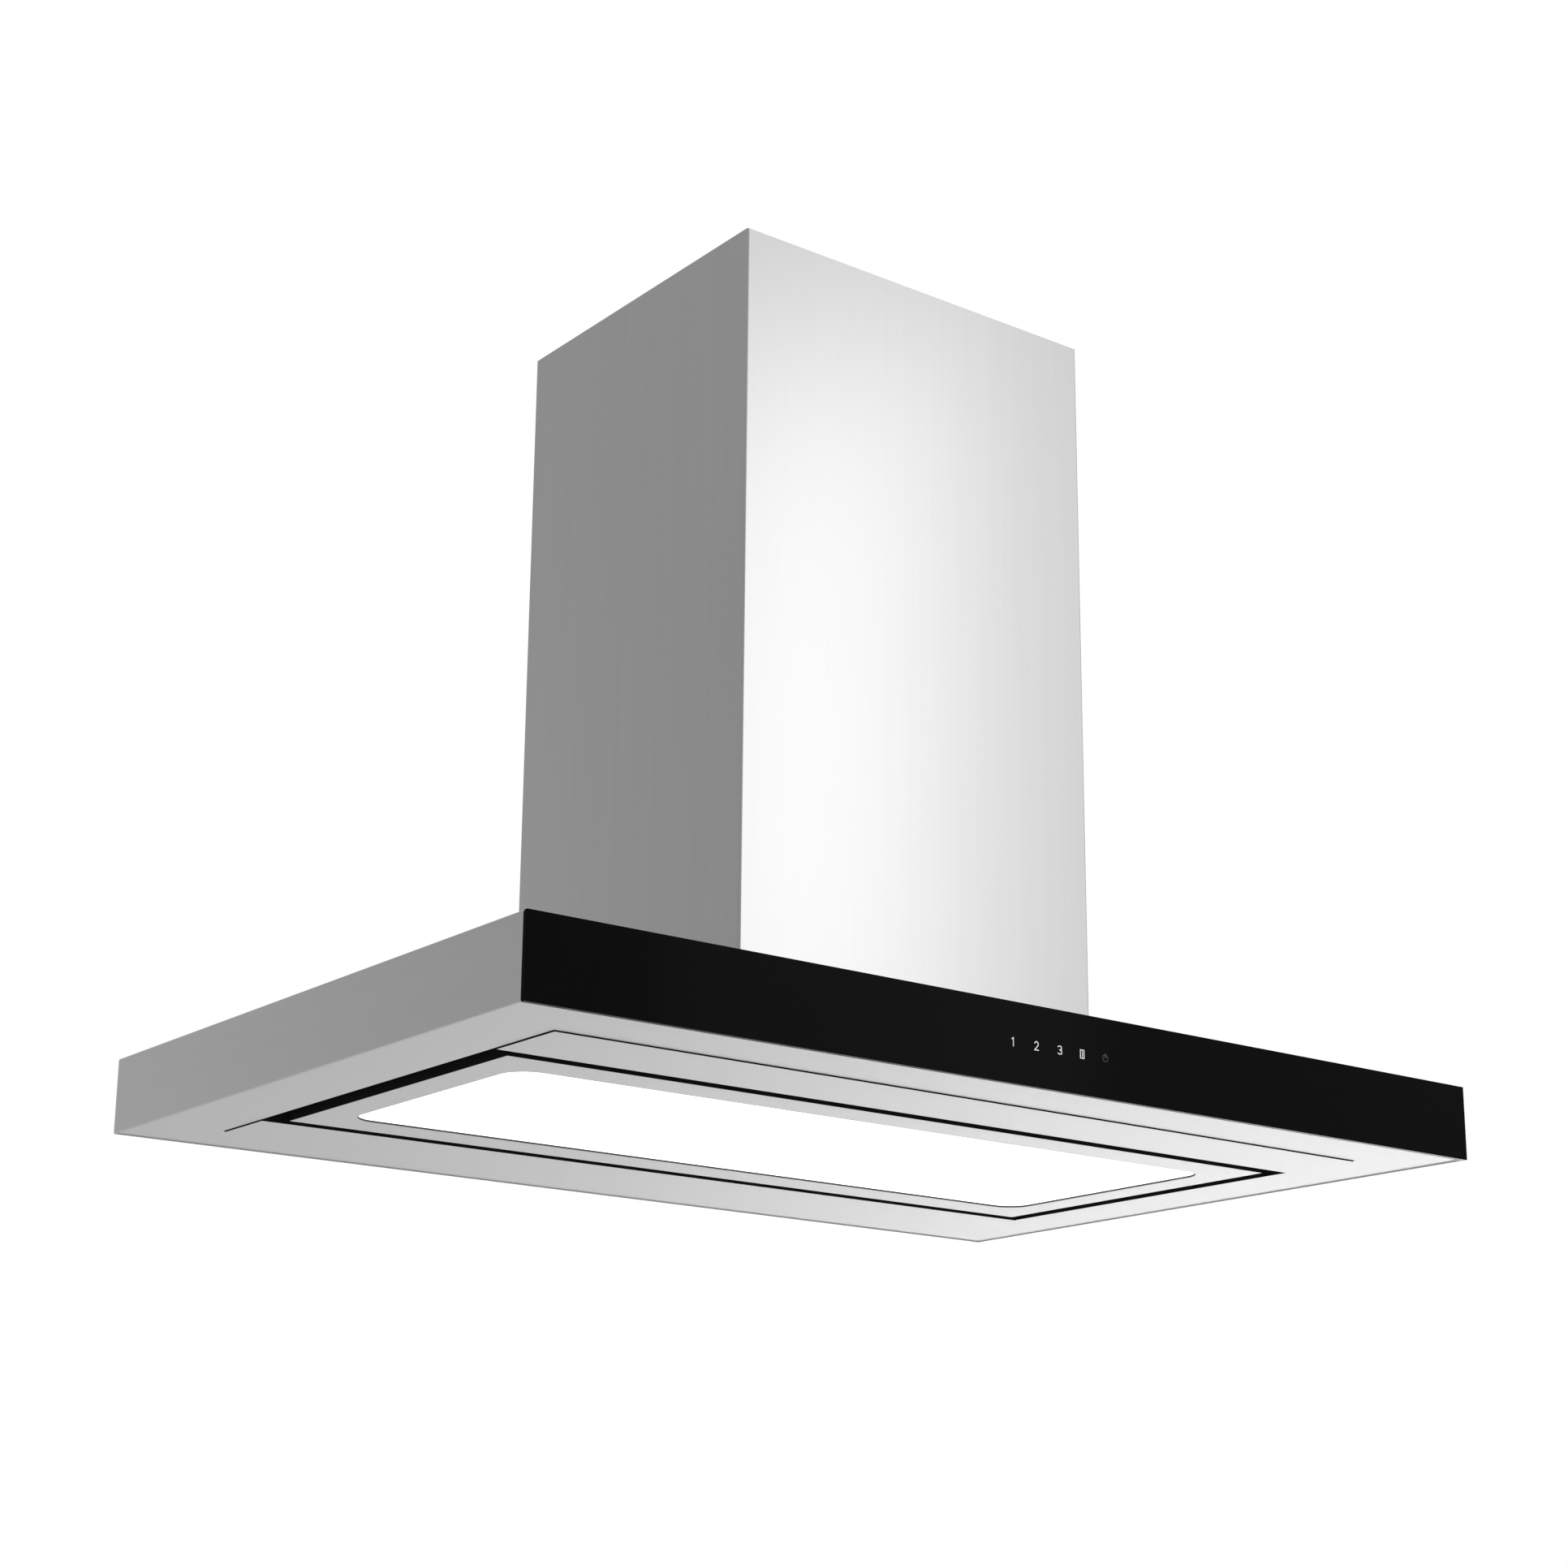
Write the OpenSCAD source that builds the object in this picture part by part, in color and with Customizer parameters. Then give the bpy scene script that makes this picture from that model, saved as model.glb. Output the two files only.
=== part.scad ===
// Island range hood: a flat canopy under a telescopic box chimney, hung from the ceiling.
// The origin is the centre of the ceiling bolt pattern, on the ceiling; +Z is up, the glass faces -Y.

/* [Canopy] */
// Width of the canopy, left to right
canopy_w = 900; // [840:10:1100]
// Depth of the canopy, front to back
canopy_d = 600; // [560:10:720]
// Height of the canopy's sides
canopy_h = 60; // [56:1:80]
// Thickness of the steel sheet
sheet = 1.0; // [0.8:0.1:1.2]
// Thickness of the front glass
glass_t = 4; // [3:0.5:6]
// Thickness of the tape that holds the glass
tape_t = 0.5; // [0.3:0.1:1]

/* [Underside] */
// Width of the steel border round the opening
border = 63; // [50:1:70]
// How far the border lies above the strips and the light panel
border_up = 0.8; // [0.4:0.1:1.5]
// Height of the recess above the strips
recess_h = 38; // [36:1:38]
// Depth of the fixed strip at the front of the opening
strip_front_d = 73; // [55:1:90]
// Depth of the fixed strip at the back of the opening
strip_back_d = 63; // [50:1:85]
// Gap between a strip and the border
strip_gap = 1.2; // [0.8:0.1:2]
// Suction gap at the two ends of the light panel
end_gap = 18; // [12:1:30]
// Suction gap along the front and back of the light panel
side_gap = 13; // [9:1:20]

/* [Light panel] */
// Height of the light panel
panel_h = 16; // [15:0.5:18]
// Margin from the panel's ends to the lit window
window_margin_x = 30; // [20:1:40]
// Margin from the panel's long edges to the lit window
window_margin_y = 35; // [20:1:40]
// Corner radius of the lit window
window_r = 22; // [5:1:40]
// Thickness of the pan's face, which is how deep the diffuser sits
pan_face_t = 1.5; // [1:0.5:3]
// Thickness of the diffuser
diffuser_t = 3; // [2:0.5:4]
// Distance of the hinge line from the panel's back edge
pivot_in = 8; // [7:0.5:10]
// Height of the hinge line above the panel's face
pivot_up = 10; // [9.5:0.5:10.5]
// Radius of the hinge pins
hinge_pin_r = 2; // [1.5:0.25:2.5]
// Distance of each hinge from the middle of the panel
hinge_x = 300; // [285:5:340]

/* [Chimney] */
// Width of the outer chimney
chimney_w = 350; // [330:1:420]
// Depth of the outer chimney
chimney_d = 305; // [294:1:360]
// Height of the outer chimney, which is also how far the canopy top hangs below the ceiling
chimney_h = 630; // [600:10:800]
// Gap between the outer and the inner chimney
nest_gap = 4; // [3:0.5:6]
// Length of the inner chimney and of the upper legs
upper_h = 400; // [380:5:450]
// How far the canopy can be lowered
travel = 300; // [200:10:320]

/* [Ceiling mount] */
// Distance between the ceiling holes, left to right
bolt_x = 250; // [230:5:260]
// Distance between the ceiling holes, front to back
bolt_y = 180; // [150:5:190]
// Radius of the ceiling holes
bolt_hole_r = 4.5; // [3:0.25:5.5]
// Radius of the hole that the duct goes up through
duct_hole_r = 85; // [80:1:88]
// Radius of the hole that the supply cable comes down through
cable_hole_r = 10; // [9:0.5:12]
// Thickness of the ceiling plate
plate_t = 2; // [1.5:0.5:3]
// Height of the ceiling plate's turned-down edges
plate_edge_h = 30; // [25:1:35]

/* [Legs] */
// Width of each face of an upper leg
upper_leg_w = 25; // [23:1:30]
// Width of each face of a lower leg
lower_leg_w = 22; // [20:1:22]
// Thickness of the legs
leg_t = 2; // [1.5:0.5:2.5]
// Gap between an upper and a lower leg
leg_slip = 0.5; // [0.3:0.1:1]
// Radius of the clamp screws that run in the legs' slots
clamp_r = 2.5; // [2:0.5:3]

/* [Blower] */
// Radius of the fan wheel
wheel_r = 70; // [60:1:74]
// Width of the fan wheel
wheel_w = 116; // [90:2:120]
// Number of blades
blades = 36; // [24:2:48]
// Radius of the motor's can
motor_r = 40; // [34:1:44]
// Radius of the motor shaft
shaft_r = 4; // [3:0.5:5]
// Outer radius of the duct spigot
spigot_r = 74.5; // [60:0.5:78]
// Height of the duct spigot
spigot_h = 56; // [50:1:70]
// Wall of the moulded parts
plastic = 2.5; // [2:0.25:3]
// Radius of the damper's pin
flap_pin_r = 2.5; // [2:0.25:3]

/* [Filters] */
// Width of one grease filter
filter_w = 260; // [240:5:300]
// Depth of one grease filter, front to back
filter_d = 300; // [280:5:310]
// Thickness of a grease filter
filter_t = 9; // [8:0.5:9]
// How far a filter latch slides
latch_travel = 5; // [4:0.5:6]

/* [Fits] */
// Gap round sheet parts that lie inside each other
slip = 0.3; // [0.3:0.05:0.5]
// Radial clearance of a pin or shaft that turns
run_fit = 0.05; // [0.03:0.01:0.08]

/* [Hidden] */
$fn = 64;

// A cutter reaches this far past the face it cuts
cut = 1;

// Levels above the bottom of the canopy
drop = canopy_h + chimney_h;
edge_top = drop - plate_edge_h;

// Underside
open_w = canopy_w - 2 * border;
open_d = canopy_d - 2 * border;
recess_d = open_d - strip_front_d - strip_back_d;
recess_shift = (strip_front_d - strip_back_d) / 2;
panel_w = open_w - 2 * end_gap;
panel_d = recess_d - 2 * side_gap;
window_w = panel_w - 2 * window_margin_x;
window_d = panel_d - 2 * window_margin_y;
front_face_y = -canopy_d / 2 + glass_t + tape_t;
strip_edge_h = 12;
tray_z = recess_h;

// Chimney sections, front to back: the folded front, then the closing plate behind its return edges
return_edge = 16;
bend_r = 2;
chimney_screw_r = 2;
chimney_screw_tip = 1;
upper_w = chimney_w - 2 * (sheet + nest_gap);
upper_d = chimney_d - 2 * (sheet + nest_gap);
upper_z = drop - upper_h;
lower_screw_x = chimney_w / 2 - sheet - return_edge / 2;
upper_screw_x = upper_w / 2 - sheet - return_edge / 2;

// Ceiling plate and legs, each given by the outer faces of its corner
plate_w = upper_w - 2 * sheet - 2 * slip;
plate_d = upper_d - 4 * sheet - 2 * chimney_screw_tip - 2 * slip;
upper_leg_x = plate_w / 2 - plate_t;
upper_leg_y = plate_d / 2 - plate_t;
lower_leg_x = upper_leg_x - leg_t - leg_slip;
lower_leg_y = upper_leg_y - leg_t - leg_slip;
leg_screw_in = 13;
leg_screw_r = 2.5;
leg_screw_z = drop - 16;
lower_leg_top = drop - plate_edge_h - 8;
clamp_z = drop - plate_edge_h - 20;
clamp_head_r = 5;

// Base frame on the canopy, and the hole under it that the air goes up through
base_t = 2;
base_edge_h = 18;
base_w = chimney_w - 2 * sheet - 2 * slip;
base_d = chimney_d - 4 * sheet - 2 * chimney_screw_tip - 2 * slip;
air_w = 2 * lower_leg_x - 52;
air_d = 2 * lower_leg_y - 52;
base_z = canopy_h;
foot_z = base_z + base_t;
foot_w = 38;
foot_t = 3;
foot_screw_in = 17;
foot_screw_r = 3;

// Blower: the wheel turns about X, at this place in Y and Z
wall_gap = 7;
scroll_r0 = wheel_r + wall_gap;
scroll_r1 = scroll_r0 + 38;
scroll_half = wheel_w / 2 + 12;
outlet_half = spigot_r + 8;
outlet_h = 140;
blower_y = outlet_half - scroll_r1;
blower_z = foot_z + 8 + scroll_r1;
support_z = blower_z + outlet_h;
support_t = 1.5;
support_edge_h = 24;
blade_l = 12;
blade_t = 1.2;
blade_lean = 35;
inlet_r = wheel_r - 18;
boss_r = 5;
boss_h = 8;
boss_screw_r = 2;
flange_t = 3;
flange_out = 9;
spigot_z = support_z + support_t;
flap_z = spigot_z + 24;
flap_t = 1.5;
flap_r = spigot_r - plastic - 1.5;
stop_in = 3.5;
knuckle_r = flap_pin_r + 2;
knuckle_half = spigot_r - plastic - stop_in - 8.5;
flap_axis_y = knuckle_r + 1;
flap_pin_half = sqrt(pow(spigot_r, 2) - pow(flap_axis_y + flap_pin_r, 2));
hub_r = 12;
hub_x0 = -8;
hub_x1 = 12;
disc_t = 3;
motor_x0 = -scroll_half - 6;
motor_x1 = hub_x0 - 3.5;
bracket_t = 2;
grommet_t = 2;
bracket_x = -scroll_half - grommet_t - bracket_t;
bracket_screw_r = inlet_r + 8;

// Touch board behind the glass, with the frame that holds it
touch_x = 6;
touch_z = canopy_h / 2;
touch_w = 118;
touch_h = 26;
touch_lip = 8;
touch_board_t = 1.2;
touch_depth = 12;
pad_r = 4;
pad_step = 22;

// Control box, lamp driver and leads
box_wall = 2;
box_x = 120;
box_w = 180;
box_d = 40;
box_h = 36;
box_y = front_face_y + 3;
box_z = border_up + sheet + 2;
lid_rim = 3;
lid_slip = 0.3;
driver_w = 40;
driver_d = 160;
driver_h = 26;
driver_foot = 8;
wire_r = 2.5;
wire_y = front_face_y + sheet + 7;

// Terminal box on the support plate, and the gland in its lid
term_w = 56;
term_d = 90;
term_h = 45;
term_x = -lower_leg_x + leg_t + 4;
gland_r = 8;
gland_bore_r = 4;
gland_x = term_x + term_w / 2;
gland_y = 20;

// Filters and their latches
filter_gap = 20;
filter_top = tray_z - 0.2;
filter_z = filter_top - filter_t;
filter_wall = 1.2;
aperture_lip = 9;
rail_half = 4;
pocket_w = 64;
pocket_l = 42;
latch_z = filter_z + filter_wall + 0.3;
latch_t = 3;
tongue_w = 28;
tongue_x = filter_gap / 2 - 8;
latch_body_x = filter_gap / 2 + filter_wall + 0.5;
latch_body_l = 24;
latch_body_w = 50;
pull_x = latch_body_x + 14;
spring_r = 5;

// Light panel's sheet and boards
pan_wall = 1.2;
cover_t = 1;
diffuser_lap = 7;
led_strip_t = 1.6;
led_strip_d = 12;
led_rows = 4;
chip = 3;
chip_t = 0.8;
chips = 12;

// Hinge line of the light panel
pivot_y = panel_d / 2 - pivot_in;
pivot_z = pivot_up;
knuckle_w = 11;
ear_t = 2;
ear_gap = 0.5;
ear_r = 4.5;
notch_half = knuckle_w / 2 + ear_gap + ear_t + 4;
notch_y = pivot_y - ear_r - 1.5;
notch_z = pivot_z - ear_r - 0.8;

// Puts what is measured from the bottom of the canopy under the ceiling
module hang() { translate([0, 0, -drop]) children(); }

// The same for what is measured from the middle of the recess between the strips
module hang_recess() { translate([0, recess_shift, -drop]) children(); }

module at_corners() {
    for (mx = [0, 1], my = [0, 1]) mirror([mx, 0, 0]) mirror([0, my, 0]) children();
}

module at_sides() {
    for (mx = [0, 1]) mirror([mx, 0, 0]) children();
}

// A box centred in X and Y that stands on z = 0
module slab(w, d, h) {
    translate([-w / 2, -d / 2, 0]) cube([w, d, h]);
}

// A rod along +X from the place that it is drawn at
module rod_x(r, length) {
    rotate([0, 90, 0]) cylinder(r = r, h = length);
}

// A rod along +Y
module rod_y(r, length) {
    rotate([-90, 0, 0]) cylinder(r = r, h = length);
}

// A rectangle with true round corners
module round_rect(w, d, r) {
    square([w - 2 * r, d], center = true);
    square([w, d - 2 * r], center = true);
    for (x = [-1, 1], y = [-1, 1]) translate([x * (w / 2 - r), y * (d / 2 - r)]) circle(r);
}

// ---- Ceiling mount ----

module ceiling_plate() color("silver") hang() difference() {
    translate([0, 0, edge_top]) slab(plate_w, plate_d, plate_edge_h);
    translate([0, 0, edge_top - cut])
        slab(plate_w - 2 * plate_t, plate_d - 2 * plate_t, plate_edge_h - plate_t + cut);
    translate([0, 0, drop - plate_t - cut]) cylinder(r = duct_hole_r, h = plate_t + 2 * cut);
    for (x = [-1, 1], y = [-1, 1])
        translate([x * bolt_x / 2, y * bolt_y / 2, drop - plate_t - cut])
            cylinder(r = bolt_hole_r, h = plate_t + 2 * cut);
    translate([gland_x, gland_y, drop - plate_t - cut]) cylinder(r = cable_hole_r, h = plate_t + 2 * cut);
    at_corners() leg_screw_holes();
}

// Holes for the two screws that hold an upper leg in the corner of the ceiling plate
module leg_screw_holes() {
    translate([upper_leg_x - leg_t - cut, upper_leg_y - leg_screw_in, leg_screw_z])
        rod_x(leg_screw_r + run_fit, leg_t + plate_t + 2 * cut);
    translate([upper_leg_x - leg_screw_in, upper_leg_y - leg_t - cut, leg_screw_z])
        rod_y(leg_screw_r + run_fit, leg_t + plate_t + 2 * cut);
}

// An angle whose outer corner stands at x, y
module angle(x, y, w, t, z, h) {
    difference() {
        translate([x - w, y - w, z]) cube([w, w, h]);
        translate([x - w - cut, y - w - cut, z - cut]) cube([w - t + cut, w - t + cut, h + 2 * cut]);
    }
}

module upper_legs() color("silver") hang() at_corners() difference() {
    angle(upper_leg_x, upper_leg_y, upper_leg_w, leg_t, upper_z, upper_h - plate_t);
    leg_screw_holes();
    translate([upper_leg_x - leg_t - cut, upper_leg_y - leg_screw_in, 0]) {
        slot_r = clamp_r + 0.5;
        for (z = [clamp_z, clamp_z - travel])
            translate([0, 0, z]) rod_x(slot_r, leg_t + 2 * cut);
        translate([0, -slot_r, clamp_z - travel]) cube([leg_t + 2 * cut, 2 * slot_r, travel]);
    }
}

module upper_leg_screws() color("gray") hang() at_corners() {
    screw_l = leg_t + plate_t;
    translate([upper_leg_x - leg_t, upper_leg_y - leg_screw_in, leg_screw_z]) {
        rod_x(leg_screw_r, screw_l);
        translate([-3, 0, 0]) rod_x(4.5, 3);
    }
    translate([upper_leg_x - leg_screw_in, upper_leg_y - leg_t, leg_screw_z]) {
        rod_y(leg_screw_r, screw_l);
        translate([0, -3, 0]) rod_y(4.5, 3);
    }
}

// A folded chimney front: front wall, two sides, and return edges in front of the closing plate
module chimney_front(w, d, h) {
    linear_extrude(h) difference() {
        union() {
            translate([-w / 2, -d / 2 + bend_r]) square([w, d - sheet - bend_r]);
            translate([-w / 2 + bend_r, -d / 2]) square([w - 2 * bend_r, bend_r + cut]);
            for (x = [-1, 1]) translate([x * (w / 2 - bend_r), -d / 2 + bend_r]) circle(bend_r);
        }
        translate([-w / 2 + sheet, -d / 2 + bend_r]) square([w - 2 * sheet, d - 2 * sheet - bend_r]);
        translate([-w / 2 + bend_r, -d / 2 + sheet]) square([w - 2 * bend_r, bend_r]);
        for (x = [-1, 1])
            translate([x * (w / 2 - bend_r), -d / 2 + bend_r]) circle(bend_r - sheet);
        translate([-w / 2 + sheet + return_edge, d / 2 - 3 * sheet])
            square([w - 2 * (sheet + return_edge), 3 * sheet]);
    }
    // The return edges lie behind the inner space
    for (x = [-1, 1])
        translate([x * (w / 2 - sheet - return_edge / 2) - return_edge / 2, d / 2 - 2 * sheet, 0])
            cube([return_edge, sheet, h]);
}

// Screw places up the back of a chimney section
module chimney_screw_places(x, y, z, h) {
    end_in = 40;
    for (sx = [-1, 1], i = [0:3])
        translate([sx * x, y, z + end_in + i * (h - 2 * end_in) / 3]) children();
}

module upper_chimney_front() color("gainsboro") hang() difference() {
    translate([0, 0, upper_z]) chimney_front(upper_w, upper_d, upper_h);
    chimney_screw_places(upper_screw_x, upper_d / 2 - 3 * sheet, upper_z, upper_h)
        rod_y(chimney_screw_r + run_fit, 4 * sheet);
}

module upper_chimney_back() color("gainsboro") hang() difference() {
    translate([-upper_w / 2, upper_d / 2 - sheet, upper_z]) cube([upper_w, sheet, upper_h]);
    chimney_screw_places(upper_screw_x, upper_d / 2 - 2 * sheet, upper_z, upper_h)
        rod_y(chimney_screw_r + run_fit, 3 * sheet);
}

module upper_chimney_screws() color("gray") hang()
    chimney_screw_places(upper_screw_x, upper_d / 2, upper_z, upper_h) {
        rod_y(3.5, 1.4);
        translate([0, -2 * sheet - chimney_screw_tip, 0])
            rod_y(chimney_screw_r, 2 * sheet + chimney_screw_tip);
    }

// ---- Canopy's frame and outer chimney ----

// Hole in a lower leg's face for the clamp screw
module clamp_hole(r, length) {
    translate([lower_leg_x - leg_t - cut, upper_leg_y - leg_screw_in, clamp_z]) rod_x(r, length);
}

// Two screws on each leg hold the blower's support plate
module support_screw_places() {
    at_corners() translate([lower_leg_x - leg_t, lower_leg_y - 10, support_z - 14]) children();
}

module foot_places() {
    at_corners() translate([lower_leg_x - leg_t - foot_screw_in, lower_leg_y - leg_t - foot_screw_in, 0])
        children();
}

module lower_legs() color("silver") hang() difference() {
    at_corners() {
        angle(lower_leg_x, lower_leg_y, lower_leg_w, leg_t, foot_z, lower_leg_top - foot_z);
        translate([lower_leg_x - foot_w, lower_leg_y - foot_w, foot_z]) cube([foot_w, foot_w, foot_t]);
        // Riveted nut for the clamp screw
        translate([lower_leg_x - leg_t - 4, upper_leg_y - leg_screw_in, clamp_z]) rod_x(clamp_r + 2, 4);
    }
    at_corners() translate([-4, 0, 0]) clamp_hole(clamp_r + run_fit, 4 + leg_t + 2 * cut);
    support_screw_places() translate([-cut, 0, 0]) rod_x(2 + run_fit, leg_t + 2 * cut);
    foot_places() translate([0, 0, foot_z - cut]) cylinder(r = foot_screw_r + run_fit, h = foot_t + 2 * cut);
}

module clamp_screws() color("gray") hang() at_corners()
    translate([upper_leg_x + slip, upper_leg_y - leg_screw_in, clamp_z]) {
        rod_x(clamp_head_r, 1.5);
        translate([-slip - 2 * leg_t - leg_slip - 3, 0, 0])
            rod_x(clamp_r, slip + 2 * leg_t + leg_slip + 3);
    }

module lower_chimney_front() color("lightgray") hang() difference() {
    translate([0, 0, base_z]) chimney_front(chimney_w, chimney_d, chimney_h);
    chimney_screw_places(lower_screw_x, chimney_d / 2 - 3 * sheet, base_z, chimney_h)
        rod_y(chimney_screw_r + run_fit, 4 * sheet);
}

module lower_chimney_back() color("lightgray") hang() difference() {
    translate([-chimney_w / 2, chimney_d / 2 - sheet, base_z]) cube([chimney_w, sheet, chimney_h]);
    chimney_screw_places(lower_screw_x, chimney_d / 2 - 2 * sheet, base_z, chimney_h)
        rod_y(chimney_screw_r + run_fit, 3 * sheet);
}

module lower_chimney_screws() color("gray") hang()
    chimney_screw_places(lower_screw_x, chimney_d / 2, base_z, chimney_h) {
        rod_y(3.8, 2);
        translate([0, -2 * sheet - chimney_screw_tip, 0])
            rod_y(chimney_screw_r, 2 * sheet + chimney_screw_tip);
    }

module chimney_base_frame() color("silver") hang() difference() {
    translate([0, 0, base_z]) slab(base_w, base_d, base_edge_h);
    translate([0, 0, foot_z]) slab(base_w - 2 * base_t, base_d - 2 * base_t, base_edge_h);
    translate([0, 0, base_z - cut]) slab(air_w, air_d, base_t + 2 * cut);
    foot_places() translate([0, 0, base_z - cut])
        cylinder(r = foot_screw_r + run_fit, h = base_t + 2 * cut);
}

// Each foot screw has its nut under the canopy top
module foot_screws() color("gray") hang() foot_places() {
    tail = 8;
    translate([0, 0, foot_z + foot_t]) cylinder(r = 5, h = 4);
    translate([0, 0, canopy_h - sheet - tail])
        cylinder(r = foot_screw_r, h = tail + sheet + base_t + foot_t);
    translate([0, 0, canopy_h - sheet - 4]) difference() {
        cylinder(r = 5.5, h = 4, $fn = 6);
        translate([0, 0, -cut]) cylinder(r = foot_screw_r + run_fit, h = 4 + 2 * cut);
    }
}

// ---- Canopy ----

module canopy_shell() color("lightgray") hang() {
    depth = canopy_d / 2 - front_face_y;
    mid_y = (canopy_d / 2 + front_face_y) / 2;
    difference() {
        translate([0, mid_y, 0]) slab(canopy_w, depth, canopy_h);
        translate([0, mid_y, -cut]) slab(canopy_w - 2 * sheet, depth - 2 * sheet, canopy_h - sheet + cut);
        translate([0, 0, canopy_h - sheet - cut]) slab(air_w, air_d, sheet + 2 * cut);
        foot_places() translate([0, 0, canopy_h - sheet - cut])
            cylinder(r = foot_screw_r + run_fit, h = sheet + 2 * cut);
        translate([touch_x - touch_w / 2 - slip, front_face_y - cut, touch_z - touch_h / 2 - slip])
            cube([touch_w + 2 * slip, sheet + 2 * cut, touch_h + 2 * slip]);
    }
}

module underside_frame() color("lightgray") hang() {
    outer_w = canopy_w - 2 * sheet - 2 * slip;
    front_y = front_face_y + sheet + slip;
    back_y = canopy_d / 2 - sheet - slip;
    difference() {
        translate([-outer_w / 2, front_y, border_up]) cube([outer_w, back_y - front_y, sheet]);
        slab(open_w, open_d, border_up + sheet + cut);
    }
    at_sides() translate([open_w / 2, -open_d / 2, border_up]) cube([sheet, open_d, recess_h - border_up]);
    for (my = [0, 1]) mirror([0, my, 0]) translate([-open_w / 2 - sheet, open_d / 2, border_up])
        cube([open_w + 2 * sheet, sheet, strip_edge_h - border_up]);
}

// A fixed strip inside the opening's front or back edge, turned up on both long edges
module strip(depth) {
    w = open_w - 2 * strip_gap;
    outer_y = open_d / 2 - strip_gap;
    inner_y = open_d / 2 - depth;
    translate([-w / 2, inner_y, 0]) cube([w, outer_y - inner_y, sheet]);
    translate([-w / 2, inner_y, 0]) cube([w, sheet, recess_h]);
    translate([-w / 2, outer_y - sheet, 0]) cube([w, sheet, strip_edge_h]);
}

module front_strip() color("lightgray") hang() mirror([0, 1, 0]) strip(strip_front_d);

module back_strip() color("lightgray") hang() strip(strip_back_d);

// Roof of the recess. The filters close its two windows; ledges and a middle rail hold them up.
module filter_tray() color("silver") hang_recess() {
    ledge_x = filter_gap / 2 + filter_w;
    difference() {
        translate([0, 0, tray_z]) slab(open_w + 2 * sheet, recess_d + 2 * sheet, sheet);
        at_sides() translate([filter_gap / 2 + aperture_lip, -filter_d / 2 + aperture_lip, tray_z - cut])
            cube([filter_w - 2 * aperture_lip, filter_d - 2 * aperture_lip, sheet + 2 * cut]);
    }
    at_sides() for (y = [-filter_d / 3, filter_d / 3]) {
        translate([ledge_x + 1, y - 15, filter_z - 2]) cube([sheet, 30, tray_z - filter_z + 2]);
        translate([ledge_x - 6, y - 15, filter_z - 2]) cube([7 + sheet, 30, 1.5]);
    }
    // The middle rail is a channel with a slot on each side for the latches' tongues
    difference() {
        translate([0, 0, filter_z]) slab(2 * rail_half, filter_d - 20, tray_z - filter_z);
        translate([0, 0, filter_z - cut])
            slab(2 * rail_half - 2 * sheet, filter_d - 20 + 2 * cut, tray_z - filter_z + cut);
        translate([0, 0, latch_z - 0.5]) slab(2 * rail_half + 2 * cut, tongue_w + 2, latch_t + 1);
    }
}

module glass_front() color([0.02, 0.02, 0.02]) hang()
    translate([-canopy_w / 2, -canopy_d / 2, 0]) cube([canopy_w, glass_t, canopy_h]);

module glass_tape() color("dimgray") hang() {
    tape_h = 8;
    for (z = [2, canopy_h - tape_h - 2])
        translate([-canopy_w / 2 + 4, front_face_y - tape_t, z]) cube([canopy_w - 8, tape_t, tape_h]);
}

// Board that senses the fingers through the glass, with five sprung pads on its back
module touch_board() color("darkgreen") hang() {
    translate([touch_x - touch_w / 2, front_face_y - tape_t, touch_z - touch_h / 2])
        cube([touch_w, touch_board_t, touch_h]);
    for (i = [-2:2])
        translate([touch_x + i * pad_step, front_face_y - tape_t + touch_board_t, touch_z]) rod_y(pad_r, 3);
}

module touch_board_holder() color([0.15, 0.15, 0.15]) hang() {
    back_y = front_face_y + sheet;
    wall = 2;
    difference() {
        translate([touch_x - touch_w / 2 - touch_lip, back_y, touch_z - touch_h / 2 - touch_lip])
            cube([touch_w + 2 * touch_lip, touch_depth, touch_h + 2 * touch_lip]);
        translate([touch_x - touch_w / 2 + wall, back_y - cut, touch_z - touch_h / 2 + wall])
            cube([touch_w - 2 * wall, touch_depth - wall + cut, touch_h - 2 * wall]);
        translate([touch_x + touch_w / 2 - 2 * wall, wire_y, touch_z])
            rod_x(wire_r + run_fit, 2 * wall + touch_lip + cut);
    }
}

// ---- Electrics ----

module control_box() color([0.2, 0.2, 0.2]) hang() difference() {
    translate([box_x, box_y, box_z]) cube([box_w, box_d, box_h]);
    translate([box_x + box_wall, box_y + box_wall, box_z + box_wall])
        cube([box_w - 2 * box_wall, box_d - 2 * box_wall, box_h]);
    translate([box_x - cut, wire_y, touch_z]) rod_x(wire_r + run_fit, box_wall + 2 * cut);
    translate([box_x + box_w / 2, box_y + box_d - box_wall - cut, touch_z])
        rod_y(wire_r + run_fit, box_wall + 2 * cut);
}

module control_board() color("darkgreen") hang() {
    side = box_wall + 1;
    board_t = 1.6;
    top = box_z + 3 * box_wall + board_t;
    relay_w = 12;
    relay_step = 18;
    translate([box_x + side, box_y + side, box_z + 3 * box_wall])
        cube([box_w - 2 * side, box_d - 2 * side, board_t]);
    // Transformer, then four relays
    translate([box_x + 14, box_y + 2 * side, top]) cube([32, 26, 12]);
    for (i = [0:3]) translate([box_x + box_w / 2 + 10 + i * relay_step, box_y + 2 * side, top])
        cube([relay_w, 15, 10]);
}

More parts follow.
